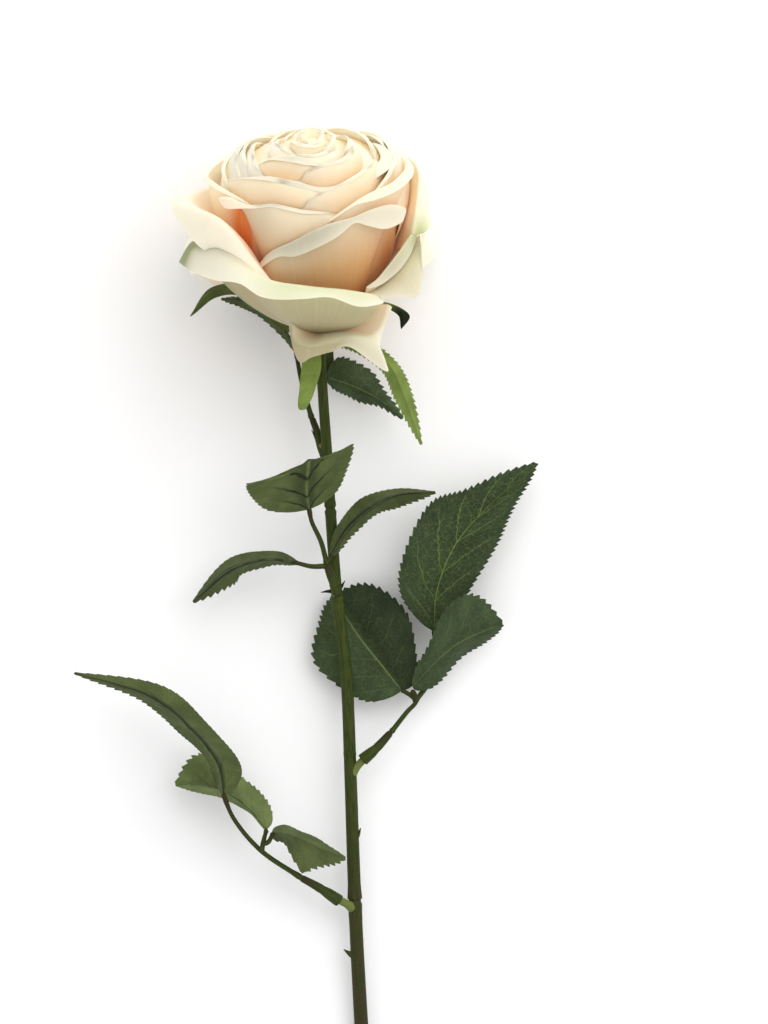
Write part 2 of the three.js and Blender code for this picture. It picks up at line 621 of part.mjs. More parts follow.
const HIP = [
  [0, -6],
  [2.4, -6],
  [4.8, -4.2],
  [6, -2],
  [5.4, -1.6],
  [0, -1.6],
];
const SEPALS = [
  { // thin, curled to the left
    rib: [[4.5, 115.8, 25], [-9, 121.6, 26.8], [-24, 134.5, 32], [-36.5, 134.5, 29], [-45.5, 124.5, 22]],
    left: [[-8.4, 123.2, 26], [-23.5, 136.5, 29.5], [-37.5, 135.5, 27]],
    right: [[-9.6, 119.8, 25.4], [-24.5, 132, 29.5], [-35, 132, 26.5]],
    teeth: 4,
    bite: 0,
  },
  { // short, hanging in front
    rib: [[6, 115.8, 26.6], [3, 109.6, 37.6], [2.5, 102, 41], [1.5, 94.5, 41], [-0.5, 87, 39]],
    left: [[6.8, 109.5, 36], [6.2, 101, 39], [3.8, 94, 39.5]],
    right: [[-0.4, 109, 36], [-1, 101, 39], [-2, 93.5, 39.5]],
    teeth: 4,
    bite: 0,
  },
  { // long and toothed, hanging to the right
    rib: [[6.8, 115.6, 26.4], [21.5, 113, 38], [34, 105, 40.5], [40.5, 91.5, 38], [47, 73, 33]],
    left: [[19.5, 110.8, 37], [31.5, 102.4, 38], [37.4, 89.8, 36]],
    right: [[22.6, 116, 37], [36.4, 106, 38.5], [43, 92.8, 36.5]],
    teeth: 7,
    bite: 0.14,
  },
  { // short, with a dark tip bent down on the right
    rib: [[7, 115.8, 25.8], [19, 117.8, 30.2], [30, 128.5, 38], [39, 126.5, 36], [39, 119.5, 30]],
    left: [[20, 116.6, 29.6], [30.5, 127, 36], [37.5, 125, 33]],
    right: [[18.5, 120, 29.4], [29.5, 130, 36], [42, 125, 34]],
    teeth: 4,
    bite: 0,
  },
  { // behind
    rib: [[6.5, 115.8, 23.4], [10, 112.6, 16.5], [11.5, 108.5, 11.5], [13, 103, 8], [13.5, 98, 6]],
    left: [[12.5, 114, 16], [14, 109, 11], [15, 103.5, 8]],
    right: [[7.5, 112, 16], [9, 107, 11], [11, 102.5, 8]],
    teeth: 4,
    bite: 0,
  },
];

function calyxSolid() {
  const hip = new THREE.LatheGeometry(HIP.map(([r, w]) => new THREE.Vector2(r, w)), HEART_SIDES);
  hip.applyQuaternion(new THREE.Quaternion().setFromUnitVectors(at(0, 1, 0), axis));
  hip.translate(BLOOM_BASE.x, BLOOM_BASE.y, BLOOM_BASE.z);
  const sepals = SEPALS.map((sepal) => leafSolid(sepal, SEPAL_THICK));
  return outerBody(wasm.Manifold.union([solidFromGeometry(hip), ...sepals]));
}

// The rose

const rose = new THREE.Group();

function add(name, solid, color, roughness) {
  const material = new THREE.MeshStandardMaterial({ color, roughness, metalness: 0 });
  const mesh = new THREE.Mesh(geometryOf(solid), material);
  mesh.name = name;
  rose.add(mesh);
}

add("bloom", bloomSolid(), CREAM, 0.7);
add("calyx", calyxSolid(), SEPAL_GREEN, 0.7);
add("stem", stemSolid(), STEM_GREEN, 0.55);
for (const [name, stalk] of Object.entries(SPRAY_STALKS)) add(name, stalkSolid(stalk), STEM_GREEN, 0.55);
for (const [name, leaf] of Object.entries(LEAVES)) add(name, leafSolid(leaf), LEAF_GREEN, 0.7);

export default rose;
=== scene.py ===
# %% [markdown]
# A single cut rose lies on a pale table and is seen from straight above.
# The packed solids give every piece its place, so they are loaded first and everything new is fitted to them.
# All lengths below are written in millimetres and turned into metres when a mesh is made.

# %% load the packed rose
import math

import bpy
import numpy as np
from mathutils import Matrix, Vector


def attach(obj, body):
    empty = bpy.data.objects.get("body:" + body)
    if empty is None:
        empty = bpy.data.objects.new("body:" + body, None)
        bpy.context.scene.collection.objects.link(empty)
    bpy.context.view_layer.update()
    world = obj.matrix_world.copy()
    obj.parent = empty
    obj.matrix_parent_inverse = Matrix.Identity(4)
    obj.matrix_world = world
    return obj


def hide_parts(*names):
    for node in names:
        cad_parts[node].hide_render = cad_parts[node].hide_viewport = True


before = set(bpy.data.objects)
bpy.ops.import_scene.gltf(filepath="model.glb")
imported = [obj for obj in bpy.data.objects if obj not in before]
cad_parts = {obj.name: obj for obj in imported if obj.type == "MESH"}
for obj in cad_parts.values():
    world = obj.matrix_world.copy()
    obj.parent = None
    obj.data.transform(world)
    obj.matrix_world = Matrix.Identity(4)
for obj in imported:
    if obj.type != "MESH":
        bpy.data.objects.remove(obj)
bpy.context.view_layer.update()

# %% [markdown]
# Petals, leaves and stalks all follow smooth curves through a few measured points.
# A cubic between each two points, with tangents taken from their neighbours, passes through every point.
# A spline drawn by hand in the viewport would do too, but numbers can be shared with the solids.

# %% a smooth curve through points
NEAR_ZERO = 1e-9  # the least length that a vector is divided by


def curve_through(points, shares, even_pace=True):
    """Points on a smooth curve, at shares 0 to 1 of the way.

    Between points b and c the place is the cubic that leaves b and reaches c with their tangents. With an
    even pace a tangent is half the step from the point before to the point after. Otherwise steps are
    weighted by the square root of their length, which keeps a long step from swinging out."""
    p = np.asarray(points, float)
    last = len(p) - 1
    p = np.vstack([2 * p[0] - p[1], p, 2 * p[-1] - p[-2]])
    shares = np.asarray(shares, float)
    k = np.minimum((shares * last).astype(int), last - 1)
    f = (shares * last - k)[:, None]
    a, b, c, d = p[k], p[k + 1], p[k + 2], p[k + 3]
    leave, reach = (c - a) / 2, (d - b) / 2
    if not even_pace:
        s, t, w = (np.sqrt(np.linalg.norm(step, axis=1))[:, None] for step in (b - a, c - b, d - c))
        leave = t * ((b - a) / s - (c - a) / (s + t) + (c - b) / t)
        reach = t * ((c - b) / t - (d - b) / (t + w) + (d - c) / w)
    cubed, squared = f ** 3, f ** 2
    return ((2 * cubed - 3 * squared + 1) * b + (cubed - 2 * squared + f) * leave
            + (3 * squared - 2 * cubed) * c + (cubed - squared) * reach)


def unit(vectors):
    """Vectors of length one, along the last axis: each divided by its own length."""
    return vectors / np.maximum(np.linalg.norm(vectors, axis=-1, keepdims=True), NEAR_ZERO)


bent_line = [(0, 0), (1, 1), (2, 0)]
print("a quarter and half along a bent line:", curve_through(bent_line, [0.25, 0.5]).round(2).tolist())

# %% [markdown]
# A petal or a leaf is a thin sheet. Its middle surface is a grid of points, and cloth has two faces and a cut
# edge, so each face is set half a thickness off the grid and a narrow band closes the rim.
# A Solidify modifier could do this, but here each face also keeps its own colours.

# %% a thin closed sheet
def normals(grid):
    """Which way a grid faces: the step across it crossed with the step along it, made one long."""
    return unit(np.cross(np.gradient(grid, axis=1), np.gradient(grid, axis=0)))


def closed_sheet(grid, thick):
    """Both faces of a sheet and its rim.

    A face point is the grid point plus or minus half the thickness times the normal. The rim joins the two
    faces all the way round."""
    rows, cols = grid.shape[:2]
    off = normals(grid) * (np.broadcast_to(thick, (rows, cols)) / 2)[..., None]
    points = np.concatenate([(grid + off).reshape(-1, 3), (grid - off).reshape(-1, 3)])
    at = np.arange(rows * cols).reshape(rows, cols)
    a, b, c, d = at[:-1, :-1], at[:-1, 1:], at[1:, 1:], at[1:, :-1]
    upper = np.stack([a, b, c, d], -1).reshape(-1, 4)
    under = np.stack([d, c, b, a], -1).reshape(-1, 4) + rows * cols
    loop = np.concatenate([at[0, :-1], at[:-1, -1], at[-1, :0:-1], at[:0:-1, 0]])
    ahead = np.roll(loop, -1)
    rim = np.stack([ahead, loop, loop + rows * cols, ahead + rows * cols], -1)
    return points, [upper, under, rim]


def both_faces(values):
    """The same values for the upper and the under face."""
    return np.concatenate([values.reshape(-1, *values.shape[2:])] * 2)


def upper_face(grid):
    """1 on the upper face and 0 on the under face."""
    return np.repeat([1.0, 0.0], grid.shape[0] * grid.shape[1])


flat_grid = np.stack(np.meshgrid(np.arange(4.0), np.arange(3.0)) + [np.zeros((3, 4))], -1)
print("a sheet from 3 rows of 4 points has", len(closed_sheet(flat_grid, 0.5)[0]), "points")

# %% [markdown]
# Rods and turned shapes are rings of points with a single point at each end, so one rule gives the faces of
# both. The two end points close the shape like the hub of a wheel, with spokes to the nearest ring.

# %% faces of a closed tube
def tube_faces(rows, sides):
    """Walls between each two rings, and a fan at either end round the two points that follow the rings."""
    at = np.arange(rows * sides).reshape(rows, sides)
    ahead = np.roll(at, -1, axis=1)
    walls = np.stack([at[:-1], ahead[:-1], ahead[1:], at[1:]], -1).reshape(-1, 4)
    low = np.stack([ahead[0], at[0], np.full(sides, rows * sides)], -1)
    high = np.stack([at[-1], ahead[-1], np.full(sides, rows * sides + 1)], -1)
    return [walls, low, high]


print("a tube of 5 rings of 8 points has", sum(len(block) for block in tube_faces(5, 8)), "faces")

# %% [markdown]
# A piece is one object made of several closed parts. Its points carry marks, such as how deep they lie in a
# petal, and the colours are worked out from these. Painting by hand would do too, but each new mesh loses it.

# %% a piece from its parts
MILLIMETRE = 0.001
CRISP_ANGLE = 50  # degrees between faces above which an edge stays sharp
scene = bpy.context.scene


def make_piece(name, parts, stands_for):
    """One object from several closed parts, each (points in mm, faces, {mark: values}).

    The faces of a part count its own points from 0, so each part's start is added to them."""
    start, points, faces, marks = 0, [], [], {}
    for part_points, part_faces, part_marks in parts:
        points.append(part_points * MILLIMETRE)
        for block in part_faces:
            faces += (block + start).tolist()
        for key, values in part_marks.items():
            marks.setdefault(key, []).append(values)
        start += len(part_points)
    mesh = bpy.data.meshes.new(name)
    mesh.from_pydata(np.concatenate(points), [], faces)
    for key, lists in marks.items():
        values = np.concatenate(lists)
        kind, field = ("FLOAT", "value") if values.ndim == 1 else ("FLOAT_VECTOR", "vector")
        mesh.attributes.new(key, kind, "POINT").data.foreach_set(field, values.astype(np.float32).ravel())
    mesh.shade_smooth()
    mesh.set_sharp_from_angle(angle=math.radians(CRISP_ANGLE))
    piece = bpy.data.objects.new(name, mesh)
    scene.collection.objects.link(piece)
    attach(piece, "root")
    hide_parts(*stands_for)
    print(name, "has", len(mesh.vertices), "points")
    return piece


print("pieces are linked to", scene.name, "and edges over", CRISP_ANGLE, "degrees stay crisp")

# %% [markdown]
# The bloom has its own frame: an axis that leans out of the table towards the viewer, and round it the front,
# right, back and left. A place in it is an angle round the axis, a distance from it and a height along it.
# A parent object turned the same way would do too, but a finished piece has to lie unturned at the origin.

# %% the bloom's frame
BLOOM_BASE = np.array([6.0, 119.0, 27.0])
TILT, LEAN = math.radians(28), math.radians(2)  # up from the table, and to the left
AXIS = np.array([-math.sin(LEAN) * math.cos(TILT), math.cos(LEAN) * math.cos(TILT), math.sin(TILT)])
RIGHT = unit(np.cross(AXIS, [0, 0, 1]))
FRONT = unit(np.cross(RIGHT, AXIS))


def outwards(degrees):
    """The direction square to the axis at an angle: front times its cosine plus right times its sine."""
    turn = np.radians(degrees)[..., None]
    return np.cos(turn) * FRONT + np.sin(turn) * RIGHT


def in_bloom(places):
    """Points for rows of angle, distance and height: the base plus distance outwards plus height along."""
    return BLOOM_BASE + places[..., 1:2] * outwards(places[..., 0]) + places[..., 2:3] * AXIS


def slope(degrees, lean):
    """A direction that leans off the axis: outwards times the lean's sine plus the axis times its cosine."""
    lean = np.radians(lean)[..., None]
    return np.sin(lean) * outwards(degrees) + np.cos(lean) * AXIS


print("the bloom faces", AXIS.round(3))

# %% [markdown]
# A petal hangs between three curves: the claw at its root, the crest where it turns over, and its free edge.
# The body between claw and crest is cupped, and the lip between crest and margin rolls back.
# Real petals are never quite even, so the margin also ripples a little. A sculpted mesh could be freer, but a
# petal of a few numbers can be measured, moved and made again.

# %% one petal
PETAL_COLUMNS, BODY_ROWS, LIP_ROWS = 60, 26, 14
PLAIN_PETAL = {
    "claw": (4, 1),              # the root's distance and height
    "start": 70, "end": 0,       # how far the petal leans out at its root and at its crest, in degrees
    "pull": 0.38, "press": 0.4,  # how far these two slopes are followed, as shares of the way between
    "spread": 0.75,              # how far the sides part at the root, 1 being as far as at the crest
    "curl": 1.0,                 # how much of the lip is rolled out
    "flare": (0, 1, 0),          # where, how wide and by how many degrees the crest leans further out
}
CLAW_WIDTH = 0.35                # share of the crest's width
MOST_INWARD_TURN = -12           # degrees by which a lip may start inwards
LIP_ROUNDNESS = 0.4              # how far the lip follows the crest's slope, as a share of its length
RIPPLE_HEIGHT = 0.55             # mm at the margin
RIPPLE_WAVES = (2, 3.7, 6.1)     # across the petal
LOWEST = 0.3                     # mm over the table of the middle of a petal that is pressed on it
ripple_seed = np.random.default_rng(7)


def petal_grid(petal):
    """The middle surface of a petal, with how deep each point lies (0 root, 1 crest, 2 margin).

    Each column is a cubic curve from the claw to the crest, steered by two slopes, and then a quadratic curve
    from the crest to the margin that starts in the same direction. A flare, which fades by the exponential of
    minus the square, leans some columns further out, so that the lip there overhangs a narrower body. The
    ripple adds sines of the share across, growing with the cube of the depth and fading at both sides."""
    p = {**PLAIN_PETAL, **petal}
    across = np.linspace(0, 1, PETAL_COLUMNS + 1)
    place = curve_through(p["crest"], across)
    free = place + p["curl"] * (curve_through(p["margin"], across) - place)
    over, edge = in_bloom(place), in_bloom(free)
    aside = place[:, 0] - p["root"]
    around = p["root"] + CLAW_WIDTH * aside
    claw = in_bloom(np.stack([around, 0 * around + p["claw"][0], 0 * around + p["claw"][1]], 1))
    reach = np.linalg.norm(over - claw, axis=1)[:, None]
    where, wide, more = p["flare"]
    end = p["end"] + more * np.exp(-((across - where) / wide) ** 2)
    leaving = claw + slope(p["root"] + p["spread"] * aside, p["start"]) * p["pull"] * reach
    arriving = over - slope(place[:, 0], end) * p["press"] * reach
    v = np.linspace(0, 1, BODY_ROWS + 1)[:, None, None]
    rest = 1 - v
    body = rest ** 3 * claw + 3 * v * rest ** 2 * leaving + 3 * v * v * rest * arriving + v ** 3 * over
    lip_length = np.linalg.norm(edge - over, axis=1)[:, None]
    turning = over + slope(place[:, 0], np.maximum(end, MOST_INWARD_TURN)) * LIP_ROUNDNESS * lip_length
    w = np.linspace(0, 1, LIP_ROWS + 1)[1:, None, None]
    lip = (1 - w) ** 2 * over + 2 * w * (1 - w) * turning + w * w * edge
    grid = np.concatenate([body, lip])
    depth = np.concatenate([v[:, 0, 0], 1 + w[:, 0, 0]])[:, None] * np.ones_like(across)
    phase = ripple_seed.uniform(0, 2 * math.pi, 3)
    ripple = sum(np.sin(2 * math.pi * n * across + q) / n for n, q in zip(RIPPLE_WAVES, phase))
    height = RIPPLE_HEIGHT * ripple * (depth / 2) ** 3 * np.sin(math.pi * across) ** 0.5
    grid = grid + normals(grid) * height[..., None]
    grid[..., 2] = np.maximum(grid[..., 2], LOWEST)
    return grid, depth, across


print("a petal's middle surface has", BODY_ROWS + LIP_ROWS + 1, "by", PETAL_COLUMNS + 1, "points")

# %% [markdown]
# A petal isn't one colour. It is flushed at the root and greenish at some rims, and some tints are wholly or
# partly painted light and shade: grey, olive and tan painted shade where lips, faces and hollows turn from
# the light, orange bounce light painted in crevices, and a paler cream painted where faces lie in shade. It
# is flushed at the root, greenish or grey at some rims and paler where light has
# bleached it. Each such tint is a few soft spots on a petal, and a spot may lie on both faces or on one.
# A painted picture would show more, but spots follow the petal when its shape changes.

# %% a petal's part and its tints
# Of these, the grey tint is painted shade on lips turned from the light; olive and tan are partly the cloth's
# own tone and partly painted shade on faces turned from the light and in hollows; the warm orange is partly
# the cloth's flush and partly painted light bounced between petals in crevices; pale is partly the cloth's
# cream and partly painted light that lifts faces lying in shade.
TINT_COLOURS = {"tan": (0.65, 0.34, 0.12), "warm": (0.78, 0.22, 0.05), "olive": (0.40, 0.34, 0.19),
                "green": (0.60, 0.67, 0.34), "cool": (0.47, 0.44, 0.32), "moss": (0.22, 0.26, 0.12),
                "pale": (0.96, 0.92, 0.76)}
BOTH, OUTER, INNER = 0, 1, 2
ROOT_THICKNESS, THINNING = 0.5, 0.12  # mm, and mm lost for each unit of depth


def petal_part(petal):
    """The petal as a closed sheet with its marks: depth, share across, which face is the outer one, tints.

    A tint is the sum of its spots. A spot is its strength times the exponential of minus the squared distance
    from its middle, measured in its own width across and height along."""
    grid, depth, across = petal_grid(petal)
    points, faces = closed_sheet(grid, ROOT_THICKNESS - THINNING * depth)
    marks = {"depth": both_faces(depth), "across": both_faces(np.broadcast_to(across, depth.shape).copy())}
    leftwards = petal["crest"][0][0] > petal["crest"][-1][0]
    marks["outer"] = abs(upper_face(grid) - leftwards)
    shows = {BOTH: 1, OUTER: marks["outer"], INNER: 1 - marks["outer"]}
    for tint in TINT_COLOURS:
        marks[tint] = 0 * marks["depth"]
        for where, how_deep, wide, tall, strength, face in petal.get(tint, []):
            far = ((marks["across"] - where) / wide) ** 2 + ((marks["depth"] - how_deep) / tall) ** 2
            marks[tint] += strength * np.exp(-far) * shows[face]
    return points, faces, marks


print("tints:", ", ".join(TINT_COLOURS))

# %% [markdown]
# These are the petals that show from the front, each measured where it turns over and where it ends.
# Crest and margin run from one side of the petal to the other, as angle, distance and height in the bloom.
# A spot of tint is its share across, depth, width, height, strength and face.

# %% the outer petals that show
OUTER_PETALS = [
    {  # hanging in front
        "root": 14, "start": 62, "end": 78, "pull": 0.3,
        "crest": [(-24, 26, 16), (-21, 28.5, 11), (-8, 30, 8.5), (9, 30, 10.5), (24, 31, 11.5),
                  (35, 32.5, 10.5), (41, 33, 10.5), (48, 33, 12.5), (59, 32, 19)],
        "margin": [(-26, 27, 14.5), (-15, 33, 3), (-5, 34, 5.5), (8, 34, 7.5), (21, 35, 8.5),
                   (43, 39, -5), (42, 36, 4), (48, 35, 12), (60, 34, 18)],
        "pale": [(0.85, 0.5, 0.4, 0.7, 0.45, INNER)],
        "olive": [(0.4, 0.4, 0.9, 0.7, 0.9, OUTER), (0.2, 1.7, 0.35, 0.6, 1.4, BOTH)],
        "green": [(0.85, 1.2, 0.15, 0.9, 0.5, OUTER), (0.75, 0.7, 0.5, 0.6, 0.7, INNER)],
    },
    {  # wide, in front to the left
        "root": -16, "start": 66, "end": 22, "pull": 0.3,
        "crest": [(-70, 51, 50), (-61, 50, 54), (-51, 47, 54), (-38, 45, 49), (-25, 45, 44.5),
                  (-8, 45, 43.2), (10, 45, 40.8), (24, 45, 37), (38, 42, 30.5)],
        "margin": [(-71, 58, 42.5), (-60, 57, 43), (-49, 54, 42.5), (-37, 51.5, 43.5), (-25, 51, 39.5),
                   (-7, 50, 40), (6, 49.5, 40), (19, 50, 34.5), (34, 46.5, 31)],
        "olive": [(0.5, 0.5, 1.2, 0.6, 1.5, OUTER), (0.21, 1.45, 0.11, 0.11, 0.75, BOTH),
                  (0.85, 1.7, 0.15, 0.5, 0.3, BOTH)],
        "tan": [(0.36, 1.36, 0.08, 0.1, 0.45, BOTH)],
        "moss": [(0.0, 1.5, 0.085, 1.2, 1.5, BOTH), (0.12, 1.55, 0.07, 0.12, 0.6, BOTH)],
        "green": [(0.6, 1.5, 0.2, 0.7, 0.7, BOTH), (0.85, 1.3, 0.15, 0.5, 0.6, BOTH)],
        "cool": [(0.17, 1.4, 0.12, 0.5, 0.6, BOTH)],
    },
    {  # right, turned down to a corner
        "root": 52, "start": 58, "end": 60, "pull": 0.3,
        "crest": [(28, 41, 34), (37, 42, 36), (50, 43, 42), (62, 44, 46), (72, 44, 48)],
        "margin": [(31, 44, 32), (42, 48.5, 32.5), (51, 51.5, 31), (56, 51, 41), (60, 48, 54)],
        "olive": [(0.4, 1.2, 0.7, 0.9, 1.0, BOTH)],
        "green": [(0.8, 1.5, 0.3, 0.8, 0.3, BOTH)],
    },
    {  # right, above it
        "root": 52, "claw": (5, 3), "start": 62, "end": 15, "pull": 0.32,
        "crest": [(28, 41.5, 37.5), (34, 42.6, 40), (41, 43, 44), (50, 43, 48),
                  (60, 42.5, 50.5), (74, 41, 50), (88, 40, 47)],
        "margin": [(28.6, 42.2, 37), (34.6, 43.9, 38), (42, 45.3, 40.6), (50, 46, 44),
                   (59, 45, 47.5), (72, 43, 49.5), (87, 42, 46.5)],
        "pale": [(0.3, 0.4, 0.5, 0.5, 0.6, INNER)],
        "olive": [(0.4, 1.6, 0.4, 0.6, 0.65, BOTH)],
        "green": [(0.65, 0.85, 0.3, 0.35, 0.7, INNER), (0.75, 1.6, 0.25, 0.5, 0.7, BOTH)],
    },
    {  # left, rolled to a point
        "root": -85, "start": 66, "end": 45, "pull": 0.34,
        "crest": [(-26, 42, 42.5), (-38, 42, 51.5), (-48, 44, 61), (-57, 47, 66),
                  (-75, 49, 64), (-100, 47, 58), (-115, 45, 55)],
        "margin": [(-26, 43, 42), (-40, 48, 47), (-53, 51, 50), (-63, 55, 56),
                   (-84, 58, 63.5), (-100, 51, 59), (-114, 49, 55)],
        "warm": [(0.25, 0.65, 0.3, 0.3, 0.9, INNER)],
    },
    {  # far right
        "root": 85, "claw": (5, 3), "start": 62, "end": 20, "pull": 0.34,
        "crest": [(65, 42.5, 50.5), (68, 43, 60), (80, 42, 67.5), (100, 41, 69), (122, 40, 67)],
        "margin": [(66, 43, 49.5), (74, 47.5, 51.5), (82, 46.5, 58), (97, 44.5, 63), (120, 42.5, 62)],
        "green": [(0.12, 1.9, 0.16, 0.5, 1.0, BOTH), (0.05, 0.9, 0.15, 0.3, 0.6, BOTH)],
        "tan": [(0.3, 0.7, 0.3, 0.3, 0.1, INNER)],
    },
]
print(len(OUTER_PETALS), "outer petals show")

# %% [markdown]
# Inside them stand four taller petals that wrap the bud. The wide one in the middle of the front carries the
# most telling line of the bloom, a lip that swings up from the left and folds back on the right.

# %% the middle petals that show
MIDDLE_PETALS = [
    {  # the wide one in the middle of the front
        "root": 14, "claw": (7, 5), "start": 74, "spread": 0.35, "flare": (0.93, 0.17, 50),
        "crest": [(-42, 35, 43), (-28, 37.5, 53), (-14, 38.5, 59), (-2, 39, 64), (10, 39.5, 67.5),
                  (22, 40, 69), (35, 40.5, 70.2), (49, 40.5, 68.2), (63, 39.5, 61), (52, 34.5, 55)],
        "margin": [(-40, 37, 42), (-23, 40, 52.5), (-12, 42.5, 55), (-1, 43.5, 59), (11, 43.5, 63.5),
                   (22, 41.8, 67.5), (29, 44, 66), (38, 46.5, 63.5), (53, 43.5, 61.5), (54, 36, 56)],
        "tan": [(0.45, 0.62, 0.6, 0.36, 1.15, OUTER)],
        "warm": [(0.4, 0.3, 0.6, 0.22, 0.6, OUTER), (0.82, 0.5, 0.15, 0.4, 0.7, OUTER)],
        "cool": [(0.3, 1.6, 0.3, 0.7, 1.0, BOTH), (0.8, 1.7, 0.25, 0.5, 0.4, BOTH)],
    },
    {  # left
        "root": -95, "claw": (7, 5), "end": 5,
        "crest": [(-42, 32, 66), (-54, 36, 71), (-76, 41, 73),
                  (-100, 42.5, 68), (-122, 42.5, 66), (-140, 41, 68)],
        "margin": [(-43, 34, 66), (-56, 38.5, 70.5), (-77, 44.5, 71),
                   (-100, 46, 66), (-122, 45, 65), (-140, 43, 67)],
        "curl": 0.5,
        "warm": [(0.19, 0.8, 0.1, 0.3, 1.3, OUTER)],
    },
    {  # right
        "root": 60, "claw": (7, 5), "spread": 0.35, "end": 10,
        "crest": [(8, 34, 66), (24, 37, 73.5), (37, 38, 76.5), (55, 38.5, 76.5), (71, 38, 76), (104, 36, 72)],
        "margin": [(8, 35, 65.5), (24, 38.5, 73), (38, 41.5, 74),
                   (56, 42.5, 74), (72, 42, 73.5), (104, 39, 71)],
        "curl": 0.8,
        "tan": [(0.65, 0.65, 0.2, 0.2, 0.7, OUTER)],
        "warm": [(0.6, 0.55, 0.3, 0.3, 0.6, OUTER)],
        "cool": [(0.6, 1.7, 0.4, 0.5, 0.2, BOTH)],
    },
    {  # behind the wide one
        "root": -15, "claw": (8, 12), "start": 60, "end": -30, "press": 0.25,
        "spread": 0.95, "flare": (0, 0.3, 100),
        "crest": [(-61.5, 42, 71.6), (-57.5, 39.5, 71.8), (-49, 36, 69.6), (-38, 34, 71),
                  (-27, 33.5, 72.5), (-9, 33, 71), (12, 33, 69), (32, 32, 62)],
        "margin": [(-62.6, 43, 70.6), (-58, 42, 68), (-49.5, 38, 68.6), (-38, 35, 70.2),
                   (-27, 34.6, 71.8), (-9, 34.2, 70.2), (12, 33.5, 68.6), (32, 32.4, 61.7)],
        "tan": [(0.5, 0.5, 0.6, 0.3, 0.5, OUTER)],
        "cool": [(0.65, 1.6, 0.4, 0.5, 0.4, BOTH), (0.4, 0.9, 0.2, 0.35, 0.5, OUTER)],
        "warm": [(0.17, 0.4, 0.1, 0.25, 0.3, OUTER)],
    },
]
print(len(MIDDLE_PETALS), "middle petals show")

# %% [markdown]
# The bud itself opens in two pairs, and in each pair the right petal laps over the left one. They lean
# inwards, so their slopes at the crest are negative.

# %% the inner petals that show
INNER_PETALS = [
    {  # outer pair, left
        "root": -30, "claw": (8, 20), "start": 58, "end": -50, "press": 0.2,
        "crest": [(-80, 34, 72), (-60, 31, 77.5), (-38, 27.5, 80.5),
                  (-15, 26.5, 80), (7, 27, 76), (22, 27, 71)],
        "margin": [(-80, 36, 71.5), (-60, 33, 77), (-38, 31, 78.5),
                   (-15, 30, 77.5), (7, 28.5, 75), (22, 28, 70.5)],
        "curl": 0.45,
        "cool": [(0.5, 1.6, 0.5, 0.5, 0.2, BOTH), (0.35, 0.9, 0.3, 0.3, 0.2, OUTER)],
        "tan": [(0.5, 0.6, 0.9, 0.5, 0.12, OUTER)],
    },
    {  # outer pair, right
        "root": 28, "claw": (8, 20), "start": 58, "end": -45, "press": 0.2,
        "crest": [(-24, 28, 66), (-6, 29, 73.5), (7, 29, 77),
                  (28, 28, 79.5), (49, 27.5, 81), (72, 26, 80)],
        "margin": [(-24, 29, 65.5), (-6, 30.5, 72.5), (7, 30.7, 76.3),
                   (28, 30, 78.5), (49, 29.5, 80), (72, 27.5, 79.5)],
        "curl": 0.45,
        "cool": [(0.5, 0.9, 0.3, 0.3, 0.25, OUTER)],
        "tan": [(0.5, 0.6, 0.9, 0.5, 0.12, OUTER)],
    },
    {  # inner pair, left
        "root": -25, "claw": (8, 40), "start": 48, "end": -55, "press": 0.22,
        "crest": [(-80, 24, 76), (-58, 20.5, 83), (-36, 18, 86),
                  (-16, 17, 86), (5, 17, 84), (22, 17, 80)],
        "margin": [(-80, 25.5, 75.5), (-58, 23, 82.5), (-36, 22, 84.5),
                   (-16, 21.5, 84), (5, 20, 82.5), (22, 18, 79.5)],
        "curl": 0.6,
        "cool": [(0.5, 1.5, 0.4, 0.5, 0.3, BOTH), (0.5, 1.0, 0.3, 0.3, 0.35, OUTER)],
    },
    {  # inner pair, right
        "root": 40, "claw": (8, 40), "start": 48, "end": -50, "press": 0.22,
        "crest": [(-18, 19, 80), (9, 20.5, 84.5), (35, 20, 85), (64, 18, 85.5), (92, 16, 82)],
        "margin": [(-18, 20, 79.5), (9, 22.5, 83.5), (35, 22.5, 83.5), (64, 20.5, 84.5), (92, 18, 81.5)],
        "curl": 0.5,
        "cool": [(0.4, 1.2, 0.3, 0.5, 0.3, BOTH)],
    },
]
print(len(INNER_PETALS), "inner petals show")

# %% [markdown]
# The petals behind, and the small ones inside, stand in rings like the tiles of a roof: each has its left end
# outside its neighbour and its right end inside it. One rule makes them all from a few numbers: the middle of
# the petal's arc and half its width in degrees, its distance, its height, and how much its right end rises.

# %% the plain petals in rings
POINTS_OF_AN_ARC = 7
SWAY = 0.7             # mm by which a crest wanders up and down, unless a ring says otherwise
SWAY_OUT = 0.6         # share of it by which the crest wanders in and out
WAVES_OUT, WAVES_UP = 4.1, 3.3  # radians of these waves from the middle to an end
DROOP_POWER = 2.5
LIP_FADE = 0.85        # share of the lip that is lost at the ends
# This paler tint is partly the cloth's cream and partly painted light: it lifts petal faces that lie in shade
# deep in the bloom.
HUSH = [(0.5, 0.9, 1.2, 0.6, 0.9, BOTH)]  # paler all over but at the root


